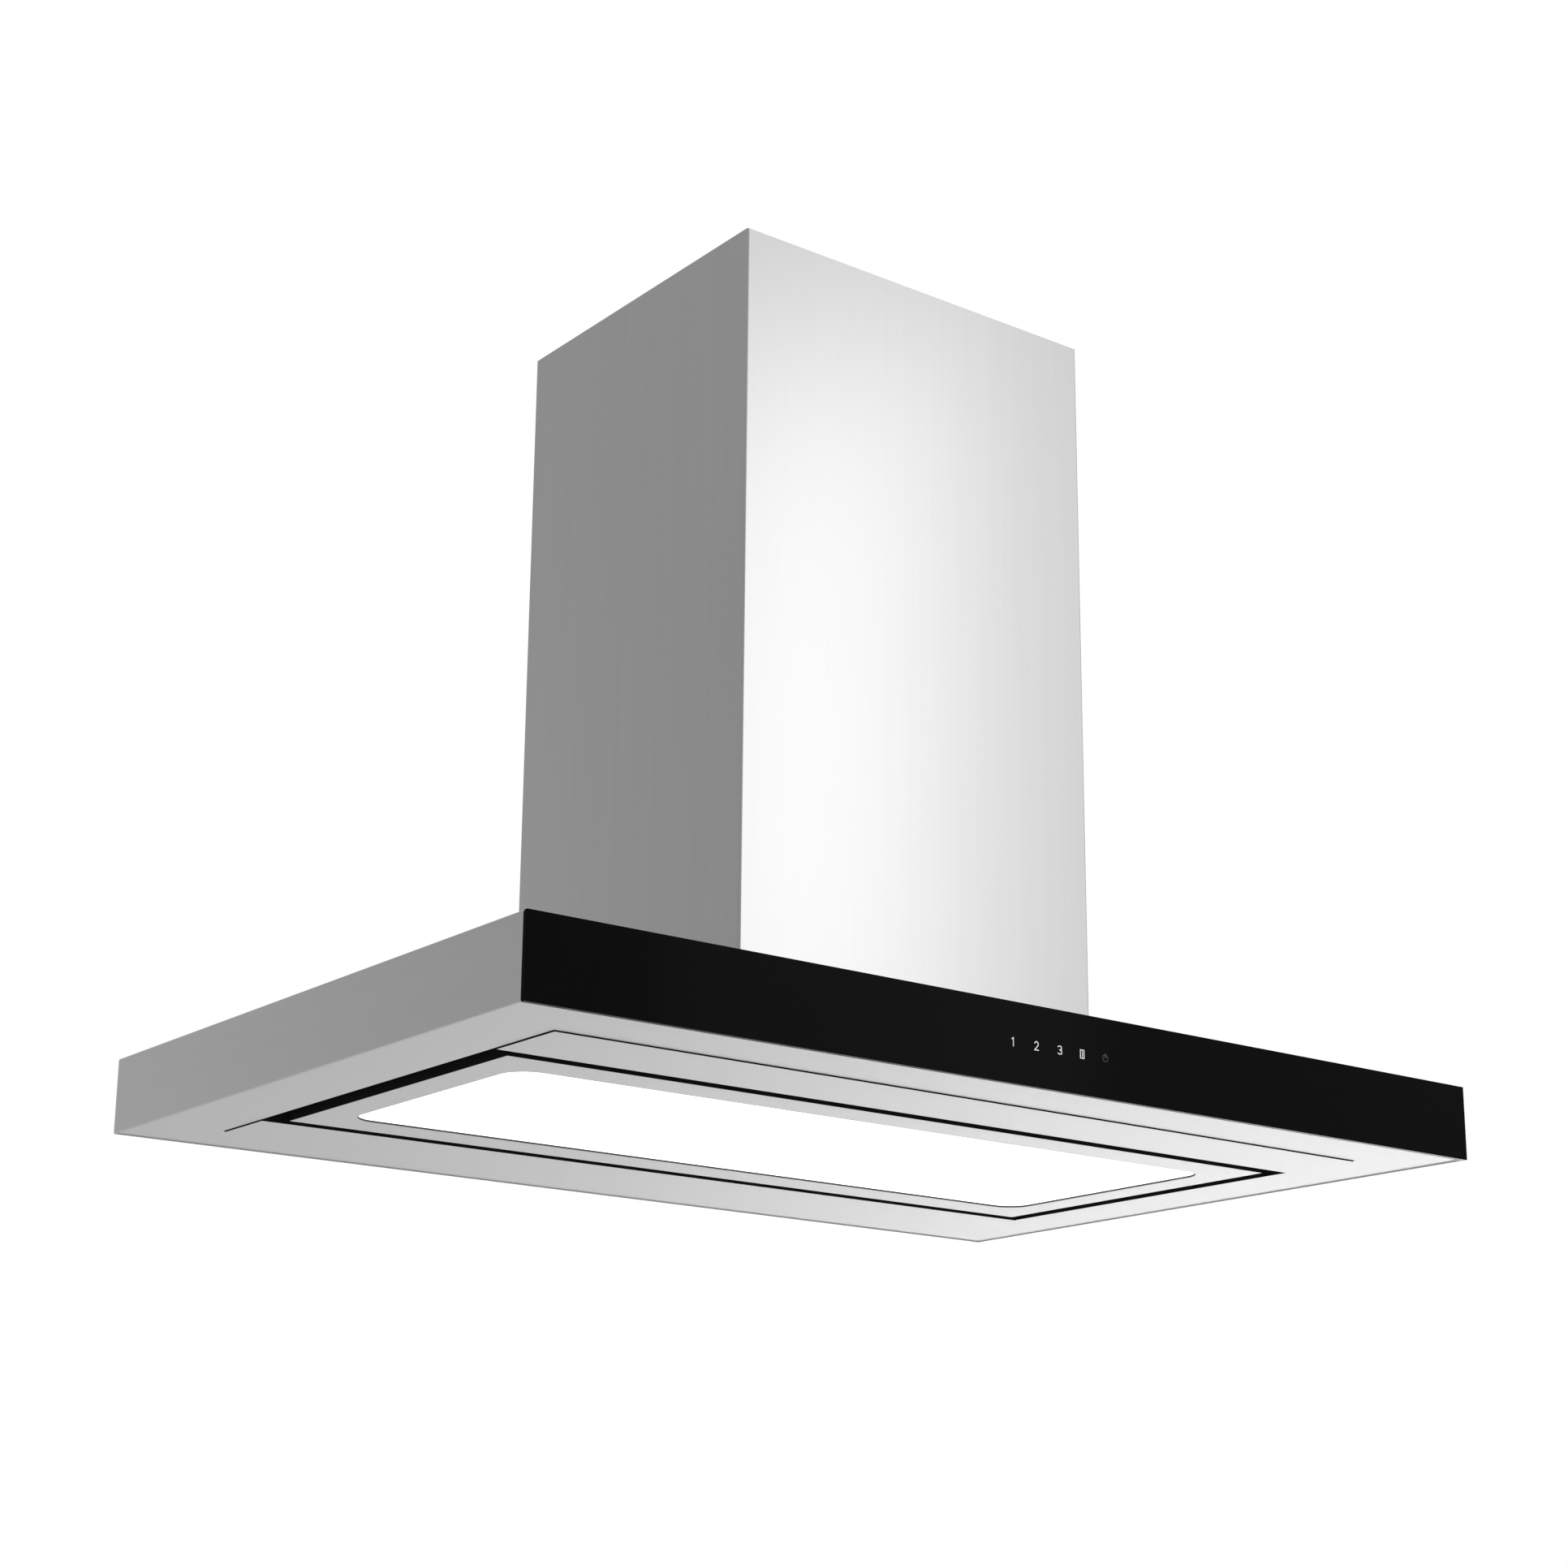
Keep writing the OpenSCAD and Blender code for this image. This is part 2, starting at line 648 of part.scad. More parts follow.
module control_box_lid() color([0.2, 0.2, 0.2]) hang() {
    in = box_wall + lid_slip;
    translate([box_x, box_y, box_z + box_h]) cube([box_w, box_d, box_wall]);
    translate([box_x + in, box_y + in, box_z + box_h - lid_rim]) difference() {
        cube([box_w - 2 * in, box_d - 2 * in, lid_rim]);
        translate([box_wall, box_wall, -cut])
            cube([box_w - 2 * (in + box_wall), box_d - 2 * (in + box_wall), lid_rim + cut]);
    }
}

module led_driver() color("whitesmoke") hang() {
    translate([-open_w / 2 - sheet - 8 - driver_w, -driver_d / 2, border_up + sheet]) {
        cube([driver_w, driver_d, driver_h]);
        for (y = [-driver_foot, driver_d]) translate([0, y, 0]) cube([driver_w, driver_foot, 3]);
    }
}

module terminal_box() color([0.2, 0.2, 0.2]) hang() difference() {
    translate([term_x, -term_d / 2, spigot_z]) cube([term_w, term_d, term_h]);
    translate([term_x + box_wall, -term_d / 2 + box_wall, spigot_z + box_wall])
        cube([term_w - 2 * box_wall, term_d - 2 * box_wall, term_h]);
    translate([gland_x, 0, spigot_z - cut]) cylinder(r = wire_r + run_fit, h = box_wall + 2 * cut);
}

module terminal_box_lid() color([0.2, 0.2, 0.2]) hang() difference() {
    in = box_wall + lid_slip;
    room = 3 * box_wall;
    union() {
        translate([term_x, -term_d / 2, spigot_z + term_h]) cube([term_w, term_d, box_wall]);
        translate([term_x + in, -term_d / 2 + in, spigot_z + term_h - lid_rim])
            cube([term_w - 2 * in, term_d - 2 * in, lid_rim]);
    }
    translate([term_x + room, -term_d / 2 + room, spigot_z + term_h - lid_rim - cut])
        cube([term_w - 2 * room, term_d - 2 * room, lid_rim + cut]);
    translate([gland_x, gland_y, spigot_z + term_h - cut])
        cylinder(r = gland_r + run_fit, h = box_wall + 2 * cut);
}

// The supply cable comes in here from the ceiling
module cable_gland() color("black") hang()
    translate([gland_x, gland_y, spigot_z + term_h]) difference() {
        body_h = 8;
        nut_h = 4;
        tail = 6;
        union() {
            translate([0, 0, box_wall]) cylinder(r = gland_r + 3, h = body_h, $fn = 6);
            translate([0, 0, box_wall + body_h]) cylinder(r = gland_r + 1, h = body_h);
            translate([0, 0, -tail]) cylinder(r = gland_r, h = tail + box_wall + 1);
            translate([0, 0, -nut_h - 1]) cylinder(r = gland_r + 2.5, h = nut_h, $fn = 6);
        }
        translate([0, 0, -tail - cut])
            cylinder(r = gland_bore_r, h = tail + 2 * body_h + box_wall + 2 * cut);
    }

// Leads from the touch board to the control box, and from there up to the terminal box
module inner_wiring() color("dimgray") hang() {
    touch_end = touch_x + touch_w / 2 - 4;
    lead_x = box_x + box_w / 2;
    run_z = tray_z + sheet + 8;
    rise_y = 0;
    translate([touch_end, wire_y, touch_z]) rod_x(wire_r, box_x + 8 - touch_end);
    lead_y = box_y + box_d - 8;
    step_y = -open_d / 2 + 8;
    translate([lead_x, lead_y, touch_z]) rod_y(wire_r, step_y - lead_y);
    translate([lead_x, step_y, touch_z]) sphere(wire_r);
    translate([lead_x, step_y, touch_z]) cylinder(r = wire_r, h = run_z - touch_z);
    translate([lead_x, step_y, run_z]) sphere(wire_r);
    translate([lead_x, step_y, run_z]) rod_y(wire_r, rise_y - step_y);
    translate([lead_x, rise_y, run_z]) sphere(wire_r);
    translate([gland_x, rise_y, run_z]) rod_x(wire_r, lead_x - gland_x);
    translate([gland_x, rise_y, run_z]) sphere(wire_r);
    translate([gland_x, rise_y, run_z]) cylinder(r = wire_r, h = spigot_z + 12 - run_z);
}

// ---- Blower ----

// Radius of the scroll at a turn of a degrees from its widest point
function scroll_r(a) = scroll_r1 - (scroll_r1 - scroll_r0) * a / 300;

// Outline of the scroll in the wheel's plane, grown by e: a spiral that opens into the outlet
module scroll_outline(e, top) {
    left = scroll_r1 - 2 * outlet_half - e;
    polygon([for (a = [0:10:270]) [(scroll_r(a) + e) * cos(a), -(scroll_r(a) + e) * sin(a)]]);
    circle(scroll_r0 + e);
    translate([left, 0]) square([2 * outlet_half + 2 * e, top]);
}

// Draws a flat shape in the wheel's plane, from x0 to x1
module across(x0, x1) {
    translate([x0, blower_y, blower_z]) rotate([90, 0, 90]) linear_extrude(x1 - x0) children();
}

// Screw bosses: four round the scroll and one on each side of the outlet
module boss_spots() {
    out = plastic + boss_r - 1;
    for (a = [30:55:195])
        translate([0, blower_y + (scroll_r(a) + out) * cos(a), blower_z - (scroll_r(a) + out) * sin(a)])
            children();
    for (y = [-outlet_half - out, outlet_half + out])
        translate([0, y, support_z - 30]) children();
}

// The half of the blower's case that lies at X above 0
module blower_half() {
    flange_half = outlet_half + plastic + flange_out;
    difference() {
        union() {
            across(0, scroll_half) scroll_outline(plastic, outlet_h);
            boss_spots() rod_x(boss_r, boss_h);
            translate([0, -flange_half, support_z - flange_t])
                cube([scroll_half + flange_out, 2 * flange_half, flange_t]);
        }
        across(-cut, scroll_half - plastic) scroll_outline(0, outlet_h + cut);
        translate([0, blower_y, blower_z]) rod_x(inlet_r, scroll_half + cut);
        boss_spots() translate([-cut, 0, 0]) rod_x(boss_screw_r + run_fit, boss_h + 2 * cut);
        plate_screw_places() translate([0, 0, support_z - flange_t - cut])
            cylinder(r = boss_screw_r + run_fit, h = flange_t + 2 * cut);
    }
    // Bell mouth round the inlet
    translate([scroll_half - 7, blower_y, blower_z]) difference() {
        rod_x(inlet_r + 2, 7);
        translate([-cut, 0, 0]) rod_x(inlet_r, 7 + 2 * cut);
    }
}

module blower_shell_right() color([0.25, 0.25, 0.27]) hang() blower_half();

module blower_shell_left() color([0.25, 0.25, 0.27]) hang() difference() {
    mirror([1, 0, 0]) blower_half();
    bracket_spots() rod_x(1.6, 2 * plastic);
}

module blower_screws() color("gray") hang() boss_spots() {
    translate([-boss_h, 0, 0]) rod_x(boss_screw_r, 2 * boss_h);
    translate([boss_h, 0, 0]) rod_x(3.8, 2.5);
}

// Where the motor bracket's arms meet the left side of the blower's case
module bracket_spots() {
    for (a = [30, 150, 270])
        translate([-scroll_half - plastic, blower_y, blower_z]) rotate([a, 0, 0])
            translate([0, bracket_screw_r, 0]) children();
}

module motor() color("gray") hang() translate([0, blower_y, blower_z]) difference() {
    union() {
        translate([motor_x0, 0, 0]) rod_x(motor_r, motor_x1 - motor_x0 - 4);
        translate([motor_x1 - 4, 0, 0]) rod_x(motor_r - 14, 4);
    }
    translate([motor_x0 + 12, 0, 0]) rod_x(shaft_r + run_fit, motor_x1 - motor_x0);
}

module motor_bracket() color("silver") hang() {
    translate([bracket_x, blower_y, blower_z]) difference() {
        union() {
            rod_x(motor_r + 5, bracket_t);
            for (a = [30, 150, 270]) rotate([a, 0, 0])
                translate([0, motor_r + 1, -8]) cube([bracket_t, bracket_screw_r + 7 - motor_r, 16]);
        }
        translate([-cut, 0, 0]) rod_x(motor_r + run_fit, bracket_t + 2 * cut);
        for (a = [30, 150, 270]) rotate([a, 0, 0])
            translate([-cut, bracket_screw_r, 0]) rod_x(2.6, bracket_t + 2 * cut);
    }
}

// Rubber rings between the bracket's arms and the case, each with its screw left out of the middle
module motor_grommets() color("black") hang() bracket_spots()
    translate([plastic - grommet_t, 0, 0]) difference() {
        rod_x(6.5, grommet_t);
        translate([-cut, 0, 0]) rod_x(2.6, grommet_t + 2 * cut);
    }

module capacitor() color("whitesmoke") hang() {
    cap_r = 15;
    cap_l = 60;
    translate([outlet_half + 12 + cap_r, -cap_l / 2, spigot_z + cap_r]) {
        rod_y(cap_r, cap_l);
        translate([0, -6, 0]) rod_y(5, 6);
    }
}

module impeller() color("silver") hang() translate([0, blower_y, blower_z]) {
    difference() {
        union() {
            translate([-disc_t / 2, 0, 0]) rod_x(wheel_r - 1, disc_t);
            translate([hub_x0, 0, 0]) rod_x(hub_r, hub_x1 - hub_x0);
        }
        translate([hub_x0 - cut, 0, 0]) rod_x(shaft_r + run_fit, hub_x1 - hub_x0 + 2 * cut);
    }
    for (x = [-wheel_w / 2, wheel_w / 2 - 2]) translate([x, 0, 0]) difference() {
        rod_x(wheel_r, 2);
        translate([-cut, 0, 0]) rod_x(wheel_r - blade_l, 2 + 2 * cut);
    }
    rotate([90, 0, 90]) translate([0, 0, -wheel_w / 2]) linear_extrude(wheel_w)
        for (i = [0:blades - 1]) rotate(i * 360 / blades)
            translate([wheel_r - blade_l, -blade_t / 2]) rotate(blade_lean) square([blade_l, blade_t]);
}

module motor_shaft() color("silver") hang()
    translate([motor_x0 + 14, blower_y, blower_z]) rod_x(shaft_r, hub_x1 + 3 - motor_x0 - 14);

module blower_support_plate() color("silver") hang() {
    w = 2 * (lower_leg_x - leg_t) - 2 * slip;
    d = 2 * (lower_leg_y - leg_t) - 2 * slip;
    difference() {
        union() {
            translate([0, 0, support_z]) slab(w, d, support_t);
            at_sides() translate([w / 2 - support_t, -d / 2, spigot_z - support_edge_h])
                cube([support_t, d, support_edge_h]);
        }
        translate([0, 0, support_z - cut]) cylinder(r = spigot_r - plastic, h = support_t + 2 * cut);
        translate([gland_x, 0, support_z - cut])
            cylinder(r = wire_r + run_fit, h = support_t + 2 * cut);
        support_screw_places() translate([-8, 0, 0]) rod_x(boss_screw_r + run_fit, 12);
        plate_screw_places() translate([0, 0, support_z - cut])
            cylinder(r = boss_screw_r + run_fit, h = support_t + 2 * cut);
    }
}

module support_screws() color("gray") hang() {
    hold = slip + support_t;
    support_screw_places() {
        translate([-hold, 0, 0]) rod_x(boss_screw_r, hold + leg_t);
        translate([-hold - 2.5, 0, 0]) rod_x(4, 2.5);
    }
    plate_screw_places() {
        translate([0, 0, spigot_z + flange_t]) cylinder(r = 4, h = 2.5);
        translate([0, 0, support_z - flange_t])
            cylinder(r = boss_screw_r, h = 2 * flange_t + support_t);
    }
}

// Screws through the spigot's flange and the support plate into the blower's flange
module plate_screw_places() {
    place = outlet_half + plastic + flange_out / 2;
    for (sx = [-1, 1], sy = [-1, 1]) translate([sx * 40, sy * place, 0]) children();
}

module outlet_spigot() color([0.2, 0.2, 0.2]) hang() {
    flange_w = 2 * (outlet_half + plastic + flange_out);
    bore = spigot_r - plastic;
    stop_top = flap_z - flap_t / 2 - 0.25;
    difference() {
        union() {
            difference() {
                union() {
                    translate([0, 0, spigot_z]) slab(2 * outlet_half, flange_w, flange_t);
                    translate([0, 0, spigot_z]) cylinder(r = spigot_r, h = spigot_h);
                }
                translate([0, 0, spigot_z - cut]) cylinder(r = bore, h = spigot_h + 2 * cut);
            }
            // Ledge that the closed flaps rest on
            translate([0, 0, stop_top - 1.5]) difference() {
                cylinder(r = bore + 0.5, h = 1.5);
                translate([0, 0, -cut]) cylinder(r = bore - stop_in, h = 1.5 + 2 * cut);
            }
        }
        for (y = [-flap_axis_y, flap_axis_y]) translate([-spigot_r - cut, y, flap_z])
            rod_x(flap_pin_r + run_fit, 2 * spigot_r + 2 * cut);
        plate_screw_places() translate([0, 0, spigot_z - cut])
            cylinder(r = boss_screw_r + run_fit, h = flange_t + 2 * cut);
    }
}

module flap_pins() color("silver") hang()
    for (y = [-flap_axis_y, flap_axis_y])
        translate([-flap_pin_half, y, flap_z]) rod_x(flap_pin_r, 2 * flap_pin_half);

// Less than half a disc in front of its pin, with a knuckle along its straight edge
module flap() difference() {
    union() {
        difference() {
            translate([0, 0, flap_z - flap_t / 2]) cylinder(r = flap_r, h = flap_t);
            translate([-flap_r - cut, -flap_axis_y, flap_z - flap_t])
                cube([2 * flap_r + 2 * cut, 2 * flap_r, 2 * flap_t]);
        }
        translate([-knuckle_half, -flap_axis_y, flap_z]) rod_x(knuckle_r, 2 * knuckle_half);
    }
    translate([-flap_r - cut, -flap_axis_y, flap_z]) rod_x(flap_pin_r + run_fit, 2 * flap_r + 2 * cut);
}

module flap_front() color([0.3, 0.3, 0.3]) hang() flap();

module flap_back() color([0.3, 0.3, 0.3]) hang() rotate([0, 0, 180]) flap();

// ---- Light panel ----

// Clears the hinge ears as the panel swings: open above and behind the hinge line
module hinge_notches() {
    at_sides() translate([hinge_x - notch_half, notch_y, notch_z])
        cube([2 * notch_half, panel_d / 2 - notch_y + cut, panel_h]);
}

module light_panel_pan() color("lightgray") hang_recess() difference() {
    slab(panel_w, panel_d, panel_h - cover_t);
    translate([0, 0, pan_face_t]) slab(panel_w - 2 * pan_wall, panel_d - 2 * pan_wall, panel_h);
    translate([0, 0, -cut]) linear_extrude(pan_face_t + 2 * cut) round_rect(window_w, window_d, window_r);
    hinge_notches();
}

module light_diffuser() color("white") hang_recess()
    translate([0, 0, pan_face_t]) slab(window_w + 2 * diffuser_lap, window_d + 2 * diffuser_lap, diffuser_t);

// Aluminium boards under the cover, each with a row of light-emitting chips
module led_strips() color("white") hang_recess() {
    led_w = window_w - 20;
    for (row = [0:led_rows - 1]) {
        y = (row - (led_rows - 1) / 2) * window_d / led_rows;
        translate([0, y, panel_h - cover_t - led_strip_t]) slab(led_w, led_strip_d, led_strip_t);
        for (i = [0:chips - 1])
            translate([(i - (chips - 1) / 2) * led_w / chips, y, panel_h - cover_t - led_strip_t - chip_t])
                slab(chip, chip, chip_t);
    }
}

module light_panel_cover() color("silver") hang_recess() difference() {
    translate([0, 0, panel_h - cover_t]) slab(panel_w, panel_d, cover_t);
    hinge_notches();
}

// Knuckles on arms that reach forward and are fixed under the cover
module panel_hinge_leaves() color("silver") hang_recess() at_sides() difference() {
    union() {
        translate([hinge_x - knuckle_w / 2, pivot_y, pivot_z]) rod_x(ear_r, knuckle_w);
        translate([hinge_x - knuckle_w / 2, notch_y - 16, pivot_z - 3])
            cube([knuckle_w, pivot_y - notch_y + 16, 6]);
        translate([hinge_x - 15, notch_y - 30, pivot_z - 3])
            cube([30, 28, panel_h - cover_t - pivot_z + 3]);
    }
    translate([hinge_x - knuckle_w, pivot_y, pivot_z]) rod_x(hinge_pin_r + run_fit, 2 * knuckle_w);
}

// Two ears for each hinge, hung from the filter tray
module hinge_brackets() color("silver") hang_recess() at_sides() {
    inner = knuckle_w / 2 + ear_gap;
    difference() {
        for (s = [0, 1]) translate([hinge_x, 0, 0]) mirror([s, 0, 0]) translate([inner, 0, 0]) {
            translate([0, pivot_y, pivot_z]) rod_x(ear_r, ear_t);
            translate([0, pivot_y - ear_r, pivot_z]) cube([ear_t, 2 * ear_r, tray_z - pivot_z]);
        }
        translate([hinge_x - inner - ear_t - cut, pivot_y, pivot_z])
            rod_x(hinge_pin_r + run_fit, 2 * (inner + ear_t + cut));
    }
    translate([hinge_x - inner - ear_t, pivot_y - ear_r, tray_z - 2])
        cube([2 * (inner + ear_t), 2 * ear_r, 2]);
}

module hinge_pins() color("gray") hang_recess() at_sides() {
    inner = knuckle_w / 2 + ear_gap;
    translate([hinge_x - inner - ear_t, pivot_y, pivot_z]) rod_x(hinge_pin_r, 2 * (inner + ear_t));
}

// Magnets that hold the panel's free edge up by its steel cover
module magnet_catches() color("dimgray") hang_recess() at_sides()
    translate([hinge_x - 20, -panel_d / 2 + 8, panel_h + slip]) cube([40, 16, tray_z - panel_h - slip]);

// ---- Grease filters ----

// Filter frame at X above 0: a channel all round and a pocket for the latch
module filter_frame() {
    x0 = filter_gap / 2;
    rim = 12;
    inner_w = filter_w - 2 * filter_wall;
    inner_d = filter_d - 2 * filter_wall;
    translate([x0, 0, filter_z]) difference() {
        union() {
            translate([0, -filter_d / 2, 0]) difference() {
                cube([filter_w, filter_d, filter_t]);
                translate([filter_wall, filter_wall, filter_wall])
                    cube([inner_w, inner_d, filter_t - 2 * filter_wall]);
                translate([rim, rim, -cut])
                    cube([filter_w - 2 * rim, filter_d - 2 * rim, filter_t + 2 * cut]);
            }
            for (z = [0, filter_t - filter_wall]) translate([filter_wall / 2, -pocket_w / 2, z])
                cube([pocket_l, pocket_w, filter_wall]);
            // Wall behind the latch that its spring pushes on
            translate([pocket_l - filter_wall, -pocket_w / 2, 0])
                cube([filter_wall, pocket_w, filter_t]);
        }
        // Ways through for the tongue and for the finger pull
        translate([-cut, -tongue_w / 2 - 1, latch_z - filter_z - 0.2])
            cube([filter_wall + 2 * cut, tongue_w + 2, latch_t + 0.4]);
        translate([pull_x - x0 - 1, -11, -cut])
            cube([latch_travel + 5, 22, filter_wall + 2 * cut]);
    }
}

module filter_frame_right() color("silver") hang_recess() filter_frame();

module filter_frame_left() color("silver") hang_recess() mirror([1, 0, 0]) filter_frame();

// The two pads of pressed mesh, cut away round the latch pockets
module filter_meshes() color("gainsboro") hang_recess() at_sides() {
    gap = 0.2;
    x0 = filter_gap / 2 + filter_wall + gap;
    w = filter_w - 2 * (filter_wall + gap);
    d = filter_d - 2 * (filter_wall + gap);
    z0 = filter_z + filter_wall + gap;
    h = filter_t - 2 * (filter_wall + gap);
    difference() {
        translate([x0, -d / 2, z0]) cube([w, d, h]);
        translate([x0 - cut, -pocket_w / 2 - gap, z0 - cut])
            cube([filter_gap / 2 + pocket_l + gap - x0 + cut, pocket_w + 2 * gap, h + 2 * cut]);
    }
}

module filter_latch() {
    translate([tongue_x, -tongue_w / 2, latch_z])
        cube([latch_body_x + 1 - tongue_x, tongue_w, latch_t]);
    translate([latch_body_x, -latch_body_w / 2, latch_z]) cube([latch_body_l, latch_body_w, latch_t]);
    // Finger pull below the filter
    translate([pull_x, -10, filter_z - 2.2]) cube([3, 20, latch_z - filter_z + 2.2 + cut]);
}

module filter_latch_right() color([0.15, 0.15, 0.15]) hang_recess() filter_latch();

module filter_latch_left() color([0.15, 0.15, 0.15]) hang_recess() mirror([1, 0, 0]) filter_latch();

// Ring spring between the latch and the wall behind it
module latch_spring() {
    x = filter_gap / 2 + pocket_l - filter_wall - spring_r;
    translate([x, 0, latch_z]) difference() {
        cylinder(r = spring_r, h = latch_t);
        translate([0, 0, -cut]) cylinder(r = spring_r - 0.5, h = latch_t + 2 * cut);
    }
}

module latch_spring_right() color("silver") hang_recess() latch_spring();

module latch_spring_left() color("silver") hang_recess() mirror([1, 0, 0]) latch_spring();

ceiling_plate();
upper_legs();
upper_leg_screws();
upper_chimney_front();
upper_chimney_back();
upper_chimney_screws();
lower_legs();
clamp_screws();
lower_chimney_front();
lower_chimney_back();
lower_chimney_screws();
chimney_base_frame();
foot_screws();
canopy_shell();
underside_frame();
front_strip();
back_strip();
filter_tray();
glass_front();
glass_tape();
touch_board();
touch_board_holder();
control_box();
control_board();
control_box_lid();
led_driver();
blower_shell_left();
blower_shell_right();
blower_screws();
motor();
motor_bracket();
motor_grommets();
capacitor();
impeller();
motor_shaft();
blower_support_plate();
support_screws();
outlet_spigot();
flap_pins();
flap_front();
flap_back();
light_panel_pan();
light_diffuser();
led_strips();
light_panel_cover();
panel_hinge_leaves();
hinge_brackets();
hinge_pins();
magnet_catches();
filter_frame_left();
filter_frame_right();
filter_meshes();
filter_latch_left();
filter_latch_right();
latch_spring_left();
latch_spring_right();
terminal_box();
terminal_box_lid();
cable_gland();
inner_wiring();
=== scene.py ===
import math

import bmesh
import bpy
from mathutils import Matrix, Vector


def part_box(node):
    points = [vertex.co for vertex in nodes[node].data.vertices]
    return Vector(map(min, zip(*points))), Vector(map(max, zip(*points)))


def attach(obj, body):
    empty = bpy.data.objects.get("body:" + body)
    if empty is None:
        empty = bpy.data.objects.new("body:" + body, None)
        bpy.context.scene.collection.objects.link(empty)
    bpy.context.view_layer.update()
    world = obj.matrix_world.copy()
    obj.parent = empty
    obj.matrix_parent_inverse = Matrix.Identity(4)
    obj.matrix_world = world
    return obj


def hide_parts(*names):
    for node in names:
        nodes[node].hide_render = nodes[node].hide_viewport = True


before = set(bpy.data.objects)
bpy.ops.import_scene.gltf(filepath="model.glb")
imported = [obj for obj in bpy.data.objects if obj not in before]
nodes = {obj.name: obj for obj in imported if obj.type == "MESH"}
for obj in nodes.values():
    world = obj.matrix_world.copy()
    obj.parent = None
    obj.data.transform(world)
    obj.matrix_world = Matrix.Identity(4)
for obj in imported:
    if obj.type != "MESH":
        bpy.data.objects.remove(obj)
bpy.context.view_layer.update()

# Vertices closer than weld are one, edges shorter than sliver go, and a vertex within on_plane of a
# plane lies in it. Triangles that meet at less than flat_angle make one flat face.
weld, sliver, on_plane = 1e-6, 1e-7, 1e-5
flat_angle = math.radians(0.4)


# ---- Ceiling plate and upper legs ----
# A folded steel plate that is bolted to the ceiling, with four slotted angles hung in its corners.
# Hot-dip galvanised steel: the zinc has frozen in flakes a centimetre or so across.

def input_socket(made, key):
    """A node's input by its number, or else by its identifier or name."""
    if isinstance(key, int):
        return made.inputs[key]
    return next(s for s in made.inputs if key in (s.identifier, s.name))


class Signal:
    """One output of a node in a finish; sums, products and powers of it add their Math nodes."""

    def __init__(self, tree, socket=None):
        self.tree, self.socket = tree, socket

    def node(self, kind, settings=None, inputs=None, output=0):
        made = self.tree.nodes.new(kind)
        for key, value in (settings or {}).items():
            setattr(made, key, value)
        for key, value in (inputs or {}).items():
            socket = input_socket(made, key)
            if isinstance(value, Signal):
                self.tree.links.new(value.socket, socket)
            else:
                socket.default_value = value
        sockets = [s for s in made.outputs if output in (s.identifier, s.name)]
        out = sockets[0] if sockets else (made.outputs[output] if len(made.outputs) else None)
        return Signal(self.tree, out)

    def math(self, operation, a, b=0.0):
        return self.node("ShaderNodeMath", {"operation": operation}, {0: a, 1: b})

    def __add__(self, other): return self.math("ADD", self, other)
    def __radd__(self, other): return self.math("ADD", other, self)
    def __rsub__(self, other): return self.math("SUBTRACT", other, self)
    def __mul__(self, other): return self.math("MULTIPLY", self, other)
    def __rmul__(self, other): return self.math("MULTIPLY", other, self)
    def __pow__(self, other): return self.math("POWER", self, other)


def grey(value):
    return (value, value, value, 1.0)


def start_finish(name):
    """A material with no nodes, and a signal to start its nodes from."""
    material = bpy.data.materials.new(name)
    material.use_nodes = True
    material.node_tree.nodes.clear()
    return material, Signal(material.node_tree)


def close_finish(start, inputs):
    shader = start.node("ShaderNodeBsdfPrincipled", {}, inputs, "BSDF")
    start.node("ShaderNodeOutputMaterial", {}, {"Surface": shader})


def place(start, scale, source="Object"):
    """Where a point lies on the piece, stretched by scale, in repeats per metre."""
    spot = start.node("ShaderNodeTexCoord", {}, {}, source)
    return start.node("ShaderNodeMapping", {}, {"Vector": spot, "Scale": scale})


def noise(start, spot, scale, detail=2.0, rough=0.5):
    return start.node("ShaderNodeTexNoise", {}, {
        "Vector": spot, "Scale": scale, "Detail": detail, "Roughness": rough}, "Fac")


def blend_colours(start, share, dark, light):
    return start.node("ShaderNodeMix", {"data_type": "RGBA"}, {
        "Factor_Float": share, "A_Color": dark, "B_Color": light}, "Result_Color")


def relief(start, height, strength, depth):
    return start.node("ShaderNodeBump", {}, {
        "Height": height, "Strength": strength, "Distance": depth}, "Normal")


def galvanised(name, flake, tone):
    """Zinc-coated steel whose frozen flakes are 1 / flake metres across."""
    finish, start = start_finish(name)
    spot = place(start, (1, 1, 1))
    warp = start.node("ShaderNodeTexNoise", {}, {
        "Vector": spot, "Scale": flake * 0.8, "Detail": 3.0}, "Color")
    bent = start.node("ShaderNodeMix", {"data_type": "VECTOR"}, {
        "Factor_Float": 0.012, "A_Vector": spot, "B_Vector": warp}, "Result_Vector")
    cell = start.node("ShaderNodeTexVoronoi", {}, {"Vector": bent, "Scale": flake}, "Color")
    shade = start.node("ShaderNodeSeparateColor", {}, {"Color": cell}, "Red")
    dull = noise(start, spot, 9.0, 5.0)
    close_finish(start, {
        "Base Color": blend_colours(start, shade * 0.6 + dull * 0.4, grey(tone * 0.78),
                                    (tone, tone * 1.01, tone * 1.03, 1)),
        "Metallic": 1.0,
        "Roughness": 0.3 + 0.14 * shade + 0.1 * dull,
        "Normal": relief(start, shade + dull, 0.06, 0.0004)})
    return finish


def dress(finish, *names):
    """Gives CAD nodes their finish."""
    for name in names:
        materials = nodes[name].data.materials
        materials.clear()
        materials.append(finish)


